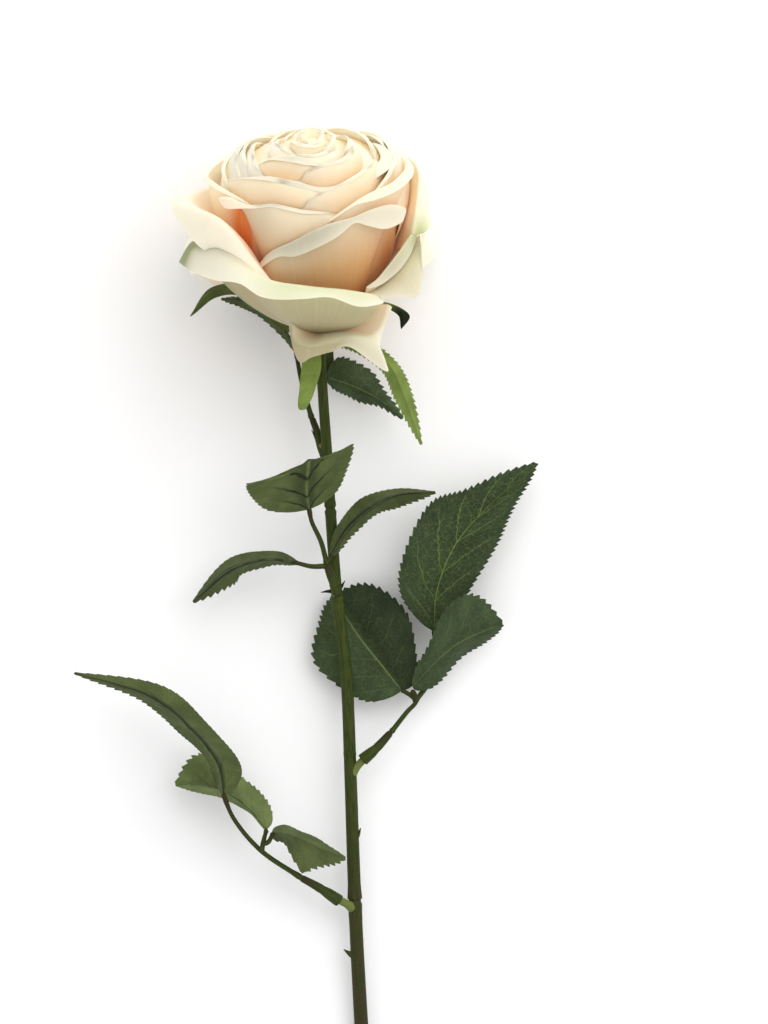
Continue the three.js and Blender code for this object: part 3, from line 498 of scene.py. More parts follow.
def ring_petal(around, half, distance, height, skew, ring):
    """A plain petal's crest and margin.

    The crest is an arc about the axis that drops at both ends by a power of the share from the middle. It
    sways a little up and down and in and out, by sines of its place in the ring. The margin stands a lip
    further out and a fall lower, and both fade with the cube of the share."""
    u = np.linspace(-1, 1, POINTS_OF_AN_ARC)
    sway = ring.get("sway", SWAY)
    angle = around + u * half
    out = distance - ring["turn"] * u + SWAY_OUT * sway * np.sin(WAVES_OUT * u + around)
    up = height + skew * u - ring["droop"] * abs(u) ** DROOP_POWER + sway * np.sin(WAVES_UP * u + 2 * around)
    fade = 1 - LIP_FADE * abs(u) ** 3
    margin = np.stack([angle, out + ring["lip"] * fade, up - ring["fall"] * fade], 1)
    return {**ring, "root": around, "crest": np.stack([angle, out, up], 1), "margin": margin}


def from_rings(rings):
    """Every petal of some rings, in order."""
    return [ring_petal(*numbers, ring) for ring in rings for numbers in ring["petals"]]


OUTER_RINGS = [
    {"petals": [(144, 30, 51, 33, 8), (-141, 32, 51.5, 32, -8)],  # the two that the rose rests on
     "droop": 6, "lip": 12, "fall": 3, "turn": 0, "start": 66, "end": 60, "sway": 0,
     "pale": [(0.5, 1.2, 1.5, 0.9, 1.5, BOTH)]},
    {"petals": [(178, 48, 42, 54, 2)],  # behind, between them
     "droop": 10, "lip": 6, "fall": 2.5, "turn": 0, "end": 25, "curl": 0.8},
]
MIDDLE_RINGS = [
    {"petals": [(138, 42, 37, 71, -1), (-166, 42, 38, 70, 2)],  # they close the bud's wrap at the back
     "droop": 6, "lip": 4.2, "fall": 1.2, "turn": 1.5, "claw": (7, 5),
     "end": -15, "press": 0.3, "pale": HUSH},
]
PACKED = {"droop": 4, "lip": 1.4, "fall": 0.4, "turn": 1, "start": 64, "end": -25, "press": 0.25}
FILL_RINGS = [  # petals packed between the middle and the inner ones, each where a gap would show
    {**PACKED, "petals": [(80, 40, 32.3, 76.5, 0.5)],
     "claw": (7, 40), "tan": [(0.3, 0.6, 0.4, 0.3, 0.4, OUTER)]},
    {**PACKED, "petals": [(-114, 46, 35.5, 73.5, 0), (126, 38, 33.8, 74.5, 0)],
     "claw": (7, 12), "pale": HUSH},
    {**PACKED, "petals": [(84, 36, 27, 79, 0.5)],
     "lip": 4.5, "fall": 1.6, "claw": (7, 30), "start": 56, "pale": HUSH},
    {**PACKED, "petals": [(-112, 42, 27.5, 78.5, 1), (110, 30, 28.4, 78.6, 0)],
     "lip": 1.2, "turn": 1.2, "claw": (7, 30), "start": 56, "end": -52, "pale": HUSH, "pull": 0.5},
]
BUDDED = {"lip": 1.4, "fall": 0.5, "turn": 1.5, "end": -58, "press": 0.28, "pale": HUSH}
INNER_RINGS = [  # from the bud's outside to the spiral in its middle
    {**BUDDED, "petals": [(108, 46, 30.5, 77, 2), (172, 50, 29, 75, -1.5), (-118, 45, 31, 76, 1.5)],
     "droop": 6, "lip": 1.5, "claw": (8, 20), "start": 58, "press": 0.3, "pull": 0.55,
     "pale": [(0.6, 0.9, 0.4, 0.6, 0.9, BOTH)]},
    {**BUDDED, "petals": [(130, 50, 22, 81, 1.5), (-150, 52, 21, 79, -1.5), (-96, 44, 24, 80, 2)],
     "droop": 5, "claw": (8, 40), "start": 56, "pull": 0.5},
    {**BUDDED, "petals": [(2, 58, 12.5, 86, 1), (95, 60, 14, 84, -1),
                          (-172, 58, 15, 82.5, 1), (-72, 56, 13, 85, -1)],
     "droop": 4, "lip": 1.3, "claw": (7, 56), "start": 50, "pull": 0.5},
    {"petals": [(-30, 75, 7.5, 87, 1), (95, 70, 8, 86, -1), (-150, 72, 8, 85, 1)],
     "droop": 3, "lip": 1.2, "fall": 0.4, "turn": 1.2, "claw": (4, 70),
     "start": 30, "end": -12, "pale": HUSH},
    {"petals": [(50, 85, 4.2, 88, 1), (-130, 85, 3.8, 88, -1)],
     "droop": 2, "lip": 1, "fall": 0.3, "turn": 1.4, "claw": (3, 72),
     "start": 25, "end": -20, "pale": HUSH},
]
plain_rings = OUTER_RINGS + MIDDLE_RINGS + FILL_RINGS + INNER_RINGS
print(len(from_rings(plain_rings)), "plain petals in", len(plain_rings), "rings")

# %% [markdown]
# Between the crests of a full rose more petals are packed, out of reach of the eye. A heart shaped like a bud
# fills that space, so no gap looks empty. A profile turned round the axis is enough, as only slivers show.

# %% the heart and the bloom's three pieces
THINNEST = 0.02  # mm, the least radius of a ring next to a pole


def turned(profile, sides, steps):
    """A closed surface of revolution: each ring is the axis point at a height plus a distance round it."""
    line = curve_through(profile, np.linspace(0, 1, steps + 1))
    turn = np.linspace(0, 360, sides, endpoint=False)[None, :]
    distance, height = np.maximum(line[1:-1, :1], THINNEST), line[1:-1, 1:]
    body = in_bloom(np.stack(np.broadcast_arrays(turn, distance, height), -1))
    poles = BLOOM_BASE + line[[0, -1], 1:] * AXIS
    return np.concatenate([body.reshape(-1, 3), poles]), tube_faces(len(body), sides)


# The heart's profile lists distance and height in the bloom.
HEART = [(0, -1), (6, 0), (10, 6), (15, 22), (22, 38), (29, 52), (32, 62), (31, 69), (28, 73.5), (23, 77),
         (16, 80), (10, 82), (4, 84.5), (0, 86)]
HEART_MARKS = {"depth": 0.9, "across": 0.5, "outer": 1.0, **dict.fromkeys(TINT_COLOURS, 0.0), "pale": 0.5}
heart_points, heart_faces = turned(HEART, sides=48, steps=60)
heart_marks = {key: np.full(len(heart_points), value) for key, value in HEART_MARKS.items()}
bloom_parts = {
    "petals_outer": [petal_part(p) for p in OUTER_PETALS + from_rings(OUTER_RINGS)],
    "petals_middle": [petal_part(p) for p in MIDDLE_PETALS + from_rings(MIDDLE_RINGS + FILL_RINGS)],
    "petals_inner": [petal_part(p) for p in INNER_PETALS + from_rings(INNER_RINGS)]
                    + [(heart_points, heart_faces, heart_marks)],
}
bloom = [make_piece(name, parts, ["bloom"]) for name, parts in bloom_parts.items()]

# %% [markdown]
# A leaf grows along its midrib, which bends in space, and its two halves reach out to measured margins.
# The edge is sawn, the side veins lie in shallow folds of the blade, and the midrib stands out underneath.
# Cutting the teeth into a flat plane with a boolean would work too, but here they are part of the formula.

# %% the run of a leaf's edge
LEAST_WIDTH = 0.02                   # share of the width that is left at base and tip
TOOTH_CREST = 0.75                   # where between two notches a tooth is highest
QUARTERS = np.array([0.25, 0.5, 0.75])
SPUR_WIDTH = 0.035                   # share of the leaf's length
PLAIN_LEAF = {
    "bite": 1.1, "sawn": (1, 1),     # depth of the teeth in mm, and how much of it each side has
    "pitch": 2.4,                    # mm from tooth to tooth
    "base": 0.5, "tip": 0.85,        # powers of the outline: the smaller, the blunter
    "spur": None,                    # a longer lobe: its side, its share along and how much longer it is
    "folds": 0.3,                    # mm of swelling between the side veins, below 0 for a grooved side
    "thick": 0.45, "keel": 0.6,      # mm, of the blade and of the raised midrib
    # In the look, the dark folds and the dark groove are painted shade, laid in the creases between side
    # veins and beside the midrib.
    "look": (1.0, 0.4, 0.0, 0.0),    # shade, pale veins, dark folds, dark groove
    # dim darkens one side with painted shade, where that half lies turned from the light.
    "dim": (0, 0), "dark_tip": 0.0,  # how much each side and the tip are darkened
    "seed": 0,                       # sets the noise of one leaf apart from the next
}


def outline(v, leaf):
    """Half a leaf's width: the share along to one power at its base, times the rest to another at its tip."""
    return np.maximum(v ** leaf["base"] * (1 - v) ** leaf["tip"], LEAST_WIDTH)


def saw(v, teeth):
    """0 at each notch, rising in a straight line to 1 at the tooth's crest and falling again."""
    f = (v * teeth) % 1
    return np.where(f <= TOOTH_CREST, f / TOOTH_CREST, (1 - f) / (1 - TOOTH_CREST))


def smooth(x, low, high):
    """0 below low, 1 above high, and between them 3 t squared minus 2 t cubed."""
    t = np.clip((x - low) / (high - low), 0, 1)
    return t * t * (3 - 2 * t)


def margins(leaf, rib, v):
    """How far the left and the right margin stand from the midrib, at shares v along.

    The three measured offsets are divided by the outline there, a curve is laid through them, and the outline
    multiplies it again. A spur makes it longer by the exponential of minus the distance from its middle."""
    offsets = []
    for margin in (leaf["left"], leaf["right"]):
        full = (np.asarray(margin, float) - rib[1:4]) / outline(QUARTERS, leaf)[:, None]
        offsets.append(curve_through([full[0], *full, full[2]], v) * outline(v, leaf)[:, None])
    if leaf["spur"]:
        which, where, size = leaf["spur"]
        offsets[which] = offsets[which] * (1 + size * np.exp(-abs(v - where) / SPUR_WIDTH))[:, None]
    return offsets


print("two teeth in eight steps:", saw(np.linspace(0, 1, 9), 2).round(2).tolist())

# %% [markdown]
# The blade is a grid again: rows along the midrib, eight to a tooth, and columns from margin to margin.
# Cloth leaves are pressed between two moulds, so a fold that stands up on one side lies deep on the other.

# %% one leaf blade
HALF_COLUMNS, ROWS_PER_TOOTH = 16, 8
SIDE_VEINS = 6                          # on each side
VEIN_SLANT = 1.5                        # how far they slant forwards, in gaps between them
ARCH = 0.07                             # rise of each half, as a share of its width
TEETH_GROW = (0.03, 0.12)               # shares along between which the teeth grow to their full depth
TEETH_SHRINK = (0.85, 1)                # and between which they shrink to half of it
TOOTH_LEAN = 0.25                       # how far a tooth points towards the tip, in pitches
FLAT_EDGE = (1, 1, 0.35)                # a tooth stands out sideways more than up or down
EDGE_WAVE, WAVES_ALONG = 0.5, 5         # mm, and the number of half waves from base to tip
EDGE_SWELL = 0.3                        # share of the swelling that is left at the margin


def leaf_grid(leaf):
    """The blade's middle surface, with the side of each point (-1 to 1), its share along, and the length.

    A point is the midrib's plus the share out times the margin's offset. The saw pushes it out by the bite,
    square to the margin, and towards the tip, both by the fifth power of the share out. The blade arches by
    four times the share out times (1 - share), between each two side veins it swells by the sine of their
    spacing, and its edge waves by the cube of the share."""
    rib = np.asarray(leaf["rib"], float)
    length = np.linalg.norm(np.diff(rib, axis=0), axis=1).sum()
    teeth = round(length / leaf["pitch"])
    v = np.linspace(0, 1, ROWS_PER_TOOTH * teeth + 1)
    side = np.linspace(-1, 1, 2 * HALF_COLUMNS + 1)[None, :]
    middle = curve_through(rib, v)
    along = unit(np.gradient(middle, axis=0))
    left, right = margins(leaf, rib, v)
    on_left, out = side[..., None] < 0, abs(side)[..., None]
    reach = np.where(on_left, left[:, None], right[:, None])
    lift = np.where(on_left, np.cross(along, left)[:, None], np.cross(right, along)[:, None])
    tall = saw(v, teeth) * smooth(v, *TEETH_GROW) * (1 - 0.5 * smooth(v, *TEETH_SHRINK))
    tooth = tall[:, None, None] * out ** 5
    edge_run = np.gradient(middle[:, None] + reach, axis=0)
    aside = np.cross(edge_run, np.cross(reach, along[:, None]))
    aside = aside * np.sign((aside * reach).sum(-1, keepdims=True))
    bite = leaf["bite"] * np.where(side < 0, *leaf["sawn"])[..., None]
    pushed = along[:, None] * tooth * (TOOTH_LEAN * leaf["pitch"] if leaf["bite"] else 0)
    pushed = pushed + unit(aside * FLAT_EDGE) * bite * tooth
    grid = middle[:, None] + reach * out + pushed + ARCH * lift * 4 * out * (1 - out)
    half, v = abs(side), v[:, None]
    between = abs(np.sin(math.pi * (v * SIDE_VEINS - VEIN_SLANT * half)))
    swell = leaf["folds"] * between * (4 * half * (1 - half) + EDGE_SWELL * half)
    wave = EDGE_WAVE * np.sin(WAVES_ALONG * math.pi * v + 2 * side + leaf["seed"]) * half ** 3
    grid = grid + normals(grid) * ((swell + wave) * outline(v, leaf))[..., None]
    return grid, np.broadcast_to(side, grid.shape[:2]), np.broadcast_to(v, grid.shape[:2]), length


print("each half of a blade has", HALF_COLUMNS, "columns and", SIDE_VEINS, "side veins")

# %% [markdown]
# Underneath, the midrib is raised to a keel. The colours need to know where on the leaf a point is, both as a
# share, for the veins, and in millimetres, so that the net of fine veins is equally fine on every leaf.

# %% a leaf's part and its marks
KEEL_WIDTH = 0.07           # share of half the leaf's width
SIDE_DARKENS = (0.0, 0.25)  # shares out between which a dimmed side grows dark
TIP_DARKENS = (0.55, 0.75)  # shares along between which a dark tip does


def leaf_part(leaf):
    """The leaf as a closed sheet with marks: side, share along, place in mm, upper face, shade and lines.

    The keel's height is the exponential of minus the squared side, times what is left of the length."""
    leaf = {**PLAIN_LEAF, **leaf}
    grid, side, v, length = leaf_grid(leaf)
    points, faces = closed_sheet(grid, leaf["thick"])
    keel = leaf["keel"] * np.exp(-(side / KEEL_WIDTH) ** 2) * (1 - v)
    points[v.size:] -= (normals(grid) * keel[..., None]).reshape(-1, 3)
    width = np.linalg.norm(grid[:, -1] - grid[:, 0], axis=1)[:, None] / 2
    shade, *lines = leaf["look"]
    # A dimmed side is darkened with painted shade.
    shade = shade * (1 - np.where(side < 0, *leaf["dim"]) * smooth(abs(side), *SIDE_DARKENS))
    shade = shade * (1 - leaf["dark_tip"] * smooth(v, *TIP_DARKENS))
    place = np.stack([side * width, v * length, 0 * v + leaf["seed"]], -1)
    marks = {"side": side, "along": v, "place": place, "shade": shade}
    marks.update({key: amount + 0 * v for key, amount in zip(("veins", "folds", "groove"), lines)})
    marks = {key: both_faces(np.ascontiguousarray(values)) for key, values in marks.items()}
    return points, faces, {**marks, "upper": upper_face(grid)}


print("a plain leaf is", PLAIN_LEAF["thick"], "mm thick with a keel of", PLAIN_LEAF["keel"], "mm")

# %% [markdown]
# Every leaf has five points along its midrib and three on each margin, at the quarters of its length.
# Left and right are as seen along the leaf to its tip, with its upper side up. Leaves with folds below 0 have
# their side veins in grooves on the upper side. A spur makes the one ragged lobe in the lowest spray.

# %% the leaves
LEAVES = {
    "leaf_upper_end": {
        "rib": [(2, 47, 38), (1, 55.5, 50), (2, 66.5, 57), (1, 62.5, 43), (-0.5, 56.5, 29)],
        "left": [(15.8, 60.7, 41), (18.8, 72.4, 47), (12, 67, 36)],
        "right": [(-19, 50.5, 43), (-22, 56.5, 50), (-15, 56.5, 38)],
        "folds": -0.8, "look": (1.42, 0.1, 1.1, 0.7), "dim": (0.16, 0.0),
    },
    "leaf_upper_left": {
        "rib": [(-3, 25.5, 29.5), (-13, 27, 31), (-22.5, 25.5, 31), (-32, 21.5, 27), (-44.5, 10, 18)],
        "left": [(-11.5, 30, 19), (-22.5, 29.5, 18), (-33.5, 24.5, 18)],
        "right": [(-13, 25, 19), (-25, 21.5, 19), (-30, 17, 19)],
        "folds": -0.6, "look": (1.15, 0.1, 0.35, 1.2), "sawn": (0.3, 1.2),
    },
    "leaf_upper_right": {
        "rib": [(11, 28.5, 28.5), (17.5, 39, 31), (26.5, 47, 33.5), (37, 53, 33), (52.5, 54, 29)],
        "left": [(19, 37, 25), (29, 45.5, 22), (39, 49, 22)],
        "right": [(14.5, 42, 26), (23, 51, 22), (35.5, 55, 22)],
        "folds": -0.6, "look": (1.15, 0.1, 0.35, 1.2), "sawn": (1.2, 0.3),
    },
    "leaf_top_left": {
        "rib": [(-3, 110, 15.5), (-8, 118.5, 14.5), (-16.5, 126, 14), (-24.5, 130.5, 13), (-33, 131.5, 12)],
        "left": [(-7.5, 119, 5), (-15.5, 127, 4), (-24, 131.5, 7)],
        "right": [(-9, 117, 6), (-18.5, 125, 5), (-25, 128.5, 7)],
        "look": (1.0, 0.25, 0.2, 0.2),
    },
    "leaf_top_right": {
        "rib": [(9, 100, 16), (15.5, 98, 17), (23, 95, 17), (31, 90.5, 15), (39.5, 83.5, 12)],
        "left": [(17.5, 107, 13), (27, 101, 12), (33, 92.5, 12)],
        "right": [(15, 94.5, 12), (21.5, 91, 10), (30, 89, 11)],
        "look": (1.5, 0.3, 0.4, 0.3), "base": 0.35,
    },
    "leaf_middle_left": {
        "rib": [(39, -25.5, 12), (32, -16.5, 9.5), (23.5, -6, 8), (17, 3.5, 7), (12, 12.5, 5)],
        "left": [(19.5, -27, 9), (4.5, -13.5, 8.5), (7, 2, 7)],
        "right": [(45, -14, 12), (40.5, 5.5, 11.5), (26.5, 16, 8.5)],
        "look": (1.2, 0.5, 0.3, 0.3), "dim": (0.0, 0.45),
    },
    "leaf_middle_right": {
        "rib": [(43.5, -24, 15), (51.5, -15, 19.5), (61, -7, 22), (71, -2, 21.5), (79.5, 1, 18)],
        "left": [(49.5, -9, 23), (57, 7, 26), (68, 12, 24)],
        "right": [(54.5, -21, 12.5), (63.5, -11, 10.5), (73, -5.5, 12.5)],
        "look": (1.25, 0.3, 0.2, 0.2),
    },
    "leaf_middle_end": {
        "rib": [(52, -1.5, 11.5), (53.5, 15.5, 13), (61, 33.5, 15.5), (75, 49.5, 17), (93, 65.5, 15)],
        "left": [(38.5, 21, 18), (50, 48, 21), (66.5, 55, 20)],
        "right": [(65.5, 14, 15), (77, 33.5, 18), (84, 49, 18)],
        "look": (0.9, 1.0, 0.1, 0.0),
    },
    "leaf_lower_end": {
        "rib": [(-32.5, -67, 31), (-35.5, -54, 37), (-46, -40.5, 41), (-63, -28, 38), (-92, -18.5, 31)],
        "left": [(-26, -54.5, 23), (-39, -39, 27), (-57.5, -23.5, 31)],
        "right": [(-39, -52.5, 21), (-49, -43, 24), (-65, -29, 30)],
        "folds": -0.6, "look": (1.2, 0.1, 0.35, 1.1), "sawn": (0.3, 1.2),
    },
    "leaf_lower_left": {
        "rib": [(-15, -81, 27), (-22.5, -72.5, 27), (-31, -66.5, 25), (-41, -64, 21), (-51.5, -63.5, 15)],
        "left": [(-17, -68, 14), (-27, -59.5, 9), (-43, -52, 11)],
        "right": [(-21.5, -75, 16), (-31.5, -69, 11), (-41.5, -66.5, 11)],
        "folds": -0.6, "look": (2.0, 0.1, 0.3, 0.3), "base": 0.35, "sawn": (1, 0.3),
    },
    "leaf_lower_right": {
        "rib": [(-12.6, -82, 28.2), (-7, -82.8, 31), (0, -85, 31), (7.5, -89, 28), (16.5, -92.5, 22)],
        "left": [(-8, -86.5, 21), (-0.5, -96, 21), (9, -95, 22)],
        "right": [(-6.5, -80, 20), (1, -83, 18), (8.5, -87, 20)],
        "folds": -0.4, "look": (1.3, 0.1, 0.2, 0.2), "base": 0.3, "spur": (0, 0.5, 0.25),
        "sawn": (1, 0.2),
    },
}
SEED_STEP = 10
blades = [make_piece(name + "_blade", [leaf_part({**leaf, "seed": SEED_STEP * number})], [name])
          for number, (name, leaf) in enumerate(LEAVES.items())]

# %% [markdown]
# Stem and stalks are round rods along smooth paths. Rings of points square to the path make the skin, and a
# rounded end closes it. A curve with a bevel would be quicker, but a mesh can swell at joints and thorns.

# %% a round rod
UP = (0, 0, 1)
FINE_STEPS = 500      # points on the path, to measure along it
END_STEPS = 6         # points over a rounded end
LONGEST_END = 0.2     # share of the rod's length
END_ROUNDNESS = 0.98  # just under 1, so that the last ring doesn't shrink to a point


def rod_part(path, profile, sides, steps, round_ends=(True, True), fresh=0.0, dark=0.0):
    """A closed rod: each ring is the path's point plus the radius times (across cos + up sin).

    The profile lists share of the length and radius, with straight lines between. At a rounded end the radius
    follows a quarter circle over its own length."""
    dense = curve_through(path, np.linspace(0, 1, FINE_STEPS), even_pace=False)
    travelled = np.concatenate([[0], np.cumsum(np.linalg.norm(np.diff(dense, axis=0), axis=1))])
    length = travelled[-1]
    stops, radii = np.array(profile, float).T
    ends = np.linspace(0, 1, END_STEPS)[1:-1]
    tip = np.minimum(radii[[0, -1]] / length, LONGEST_END)
    share = np.concatenate([np.linspace(0, 1, steps + 1), stops, ends * tip[0], 1 - ends * tip[1]])
    share = np.unique(share)
    centre = np.stack([np.interp(share * length, travelled, dense[:, k]) for k in range(3)], 1)
    forward = unit(np.gradient(centre, share, axis=0))
    across = unit(np.cross(forward, UP))
    up = np.cross(across, forward)
    size = np.interp(share, stops, radii)
    for rounded, gone, reach in zip(round_ends, (share, 1 - share), tip):
        if rounded:
            size = size * np.sqrt(1 - END_ROUNDNESS * np.clip(1 - gone / reach, 0, 1) ** 2)
    turn = np.linspace(0, 2 * math.pi, sides, endpoint=False)
    ring = np.cos(turn)[None, :, None] * across[:, None] + np.sin(turn)[None, :, None] * up[:, None]
    body = centre[:, None] + ring * size[:, None, None]
    points = np.concatenate([body.reshape(-1, 3), centre[[0, -1]]])
    place = np.stack(np.broadcast_arrays(turn[None, :] * size.mean(), share[:, None] * length, 0.0), -1)
    marks = {"place": np.concatenate([place.reshape(-1, 3), [[0, 0, 0], [0, length, 0]]]),
             "along": np.concatenate([np.repeat(share, sides), [0, 1]]),
             "fresh": np.full(len(points), fresh), "dark": np.full(len(points), dark)}
    return points, tube_faces(len(share), sides), marks


straight = rod_part([(0, 0, 0), (9, 0, 0)], [(0, 1), (1, 1)], sides=8, steps=4)[0]
print("a straight rod of radius 1 and length 9 spans, mm:", np.ptp(straight, axis=0).round(2).tolist())

# %% [markdown]
# Each spray is pushed onto a peg of the stem by a sleeve with a square-cut end, and thinner branches run from
# it to the leaves. The top spray has no sleeve: its stalk is slim and has a small spike beside it.
# One profile serves every branch, because they are all drawn from the same mould.

# %% the spray stalks
# A profile lists share of the length and radius in mm.
SLEEVE = [(0, 2.3), (0.03, 2.5), (0.3, 2.2), (0.45, 1.75), (0.5, 1.85), (1, 1.35)]
RINGED = [(0, 1.6), (0.12, 2.2), (0.2, 2.1), (0.24, 2.4), (0.3, 2.05),
          (0.35, 2.3), (0.42, 2.0), (0.7, 1.8), (1, 1.4)]
BRANCH = [(0, 1.2), (0.05, 1.3), (0.1, 1.05), (0.85, 0.85), (0.92, 1.05), (1, 1.0)]
SPIKE = [(0, 0.9), (0.5, 0.6), (1, 0.1)]
SPRAYS = {
    "spray_upper_stalk": {
        "sleeve": [(13.4, 12.6, 19.6), (12.2, 17.2, 22.9), (10.6, 21, 24.6), (9, 25.6, 26.6)],
        "profile": RINGED,
        "branches": [[(9.2, 25, 26.3), (6.8, 34, 30.6), (3, 42.4, 36), (2, 47.6, 38.4)],
                     [(8.8, 24.4, 26), (3.2, 24.2, 27.4), (-2.4, 25.5, 29), (-4.4, 26, 29.4)],
                     [(9, 25.6, 26.4), (10, 27, 27.6), (11.4, 29, 28.5)]],
    },
    "spray_top_stalk": {
        "sleeve": [(8, 68.6, 22.6), (6.6, 72.4, 20.8), (5, 78.6, 19.8), (3, 84, 19.2)],
        "profile": [(0, 1.7), (0.3, 1.6), (1, 1.25)],
        "branches": [[(3.2, 83, 19.6), (0.4, 92.8, 18.5), (-1.6, 100.8, 16.8), (-3.3, 110.8, 15.4)],
                     [(0.6, 92, 18.6), (4, 97.6, 17), (9.4, 100, 15.9)]],
        "spike": [(6.8, 71.4, 20.8), (4.9, 75.2, 20.6), (2.9, 79, 21)],
    },
    "spray_middle_stalk": {
        "sleeve": [(23.3, -53.5, 14.5), (29, -48.6, 14.8), (35, -42, 14.6)], "profile": SLEEVE,
        "branches": [[(34.6, -42.6, 14.6), (41, -34.4, 14), (45, -29.6, 13.6), (43.2, -25.2, 14.2)],
                     [(45, -29.2, 13.4), (42.6, -27.4, 12.4), (38.9, -25.3, 11.9)],
                     [(44, -30.4, 13.4), (49.4, -23, 7.6), (52.8, -10, 8), (52, -0.9, 11.5)]],
    },
    "spray_lower_stalk": {
        "sleeve": [(14.2, -110, 12.6), (6, -104.6, 14.4), (-1.6, -100.4, 16.2)], "profile": SLEEVE,
        "branches": [[(-0.6, -101, 16), (-17.6, -89.4, 21), (-28.4, -76.4, 26.4), (-32.5, -66.4, 31.2)],
                     [(-17, -90, 20.8), (-16.4, -86.4, 25), (-15, -81, 27.1)],
                     [(-16.4, -87, 23.6), (-14.2, -86, 26.2), (-12.4, -82.4, 28.2)]],
    },
}
stalks = []
for name, spray in SPRAYS.items():
    parts = [rod_part(spray["sleeve"], spray["profile"], sides=24, steps=24, round_ends=(False, True))]
    parts += [rod_part(branch, BRANCH, sides=16, steps=30) for branch in spray["branches"]]
    if "spike" in spray:
        parts.append(rod_part(spray["spike"], SPIKE, sides=12, steps=12, dark=0.4))
    stalks.append(make_piece(name + "_skin", parts, [name]))

# %% [markdown]
# The stem is moulded in lengths that meet in rings, and carries pale pegs for the sprays and a few thorns.
# The rings could be separate hoops, but as steps in the rod's profile they stay part of one skin, as on the
# real stem. Pegs and thorns are short rods that start inside it.

# %% the stem
STEM_PATH = [(6.4, 112, 27.2), (7.6, 92, 25.4), (9, 72, 23.4), (11, 40, 20.6), (13.2, 12, 18.4),
             (16.8, -18, 16), (18.6, -60, 12.6), (19.8, -96, 10), (21, -125, 8), (25.2, -200, 2.76)]
STEM_PROFILE = [(0, 2.0),
                (0.196, 2.18), (0.2, 2.36), (0.2045, 2.36), (0.206, 1.95), (0.2085, 1.95), (0.211, 2.4),
                (0.217, 2.22), (0.318, 2.3), (0.324, 2.6), (0.328, 2.35), (0.333, 2.65), (0.34, 2.33),
                (0.52, 2.5), (0.523, 2.62), (0.526, 2.48), (0.69, 2.62), (0.706, 2.95), (0.709, 2.95),
                (0.7095, 2.45), (0.713, 2.45), (0.716, 2.85), (0.74, 2.68), (1, 2.9)]
BULGE = 1.08                       # a peg's radius halfway along, as a share of that at its end
THORN_WAIST, THORN_TIP = 0.6, 0.12  # share of a thorn's radius halfway along, and mm at its tip
# A peg is its path and its radius at both ends, and a thorn its path, its radius and how dark it is.
PEGS = [([(12.8, 12, 18.6), (12.6, 14, 20.6), (12.2, 16.4, 22.4)], 1.5, 1.5),
        ([(8.8, 71.6, 23), (7.6, 72.2, 22), (6.3, 72.7, 21)], 1.5, 1.3),
        ([(18.4, -60.4, 12.6), (20.6, -56.8, 13.4), (25, -52, 14.6)], 2.3, 1.45),
        ([(20.2, -113.4, 9), (17.6, -111.4, 11), (12.6, -109, 13)], 2.5, 1.5)]
THORNS = [([(13, 14, 18.6), (9.6, 14.2, 19.4), (6.6, 13.8, 20)], 1.1, 1.0),
          ([(13.4, 14.4, 20), (15, 16.2, 20.8), (16.4, 18.6, 21)], 1.0, 1.0),
          ([(19.4, -86, 10.8), (21.6, -83.4, 11.6), (22.7, -80.6, 12)], 1.5, 0.1),
          ([(21.4, -132.6, 7.6), (18.4, -131.2, 8.4), (15.8, -129.4, 9)], 1.9, 0.1)]

stem_parts = [rod_part(STEM_PATH, STEM_PROFILE, sides=32, steps=360, round_ends=(False, False))]
for path, low, high in PEGS:
    peg = [(0, low), (0.5, high * BULGE), (1, high)]
    stem_parts.append(rod_part(path, peg, sides=20, steps=16, fresh=1.0))
for path, size, dark in THORNS:
    thorn = [(0, size), (0.5, size * THORN_WAIST), (1, THORN_TIP)]
    stem_parts.append(rod_part(path, thorn, sides=16, steps=14, dark=dark))
stem = make_piece("stem_skin", stem_parts, ["stem"])

# %% [markdown]
# The calyx is the green cup under the petals, the hip, with five sepals. The hip is a short profile turned
# round the bloom's axis, so it points the way the bloom does. The sepals are small leaves and made like them,
# only thicker and mostly without teeth. They start on the hip's skin, which hides where they meet.

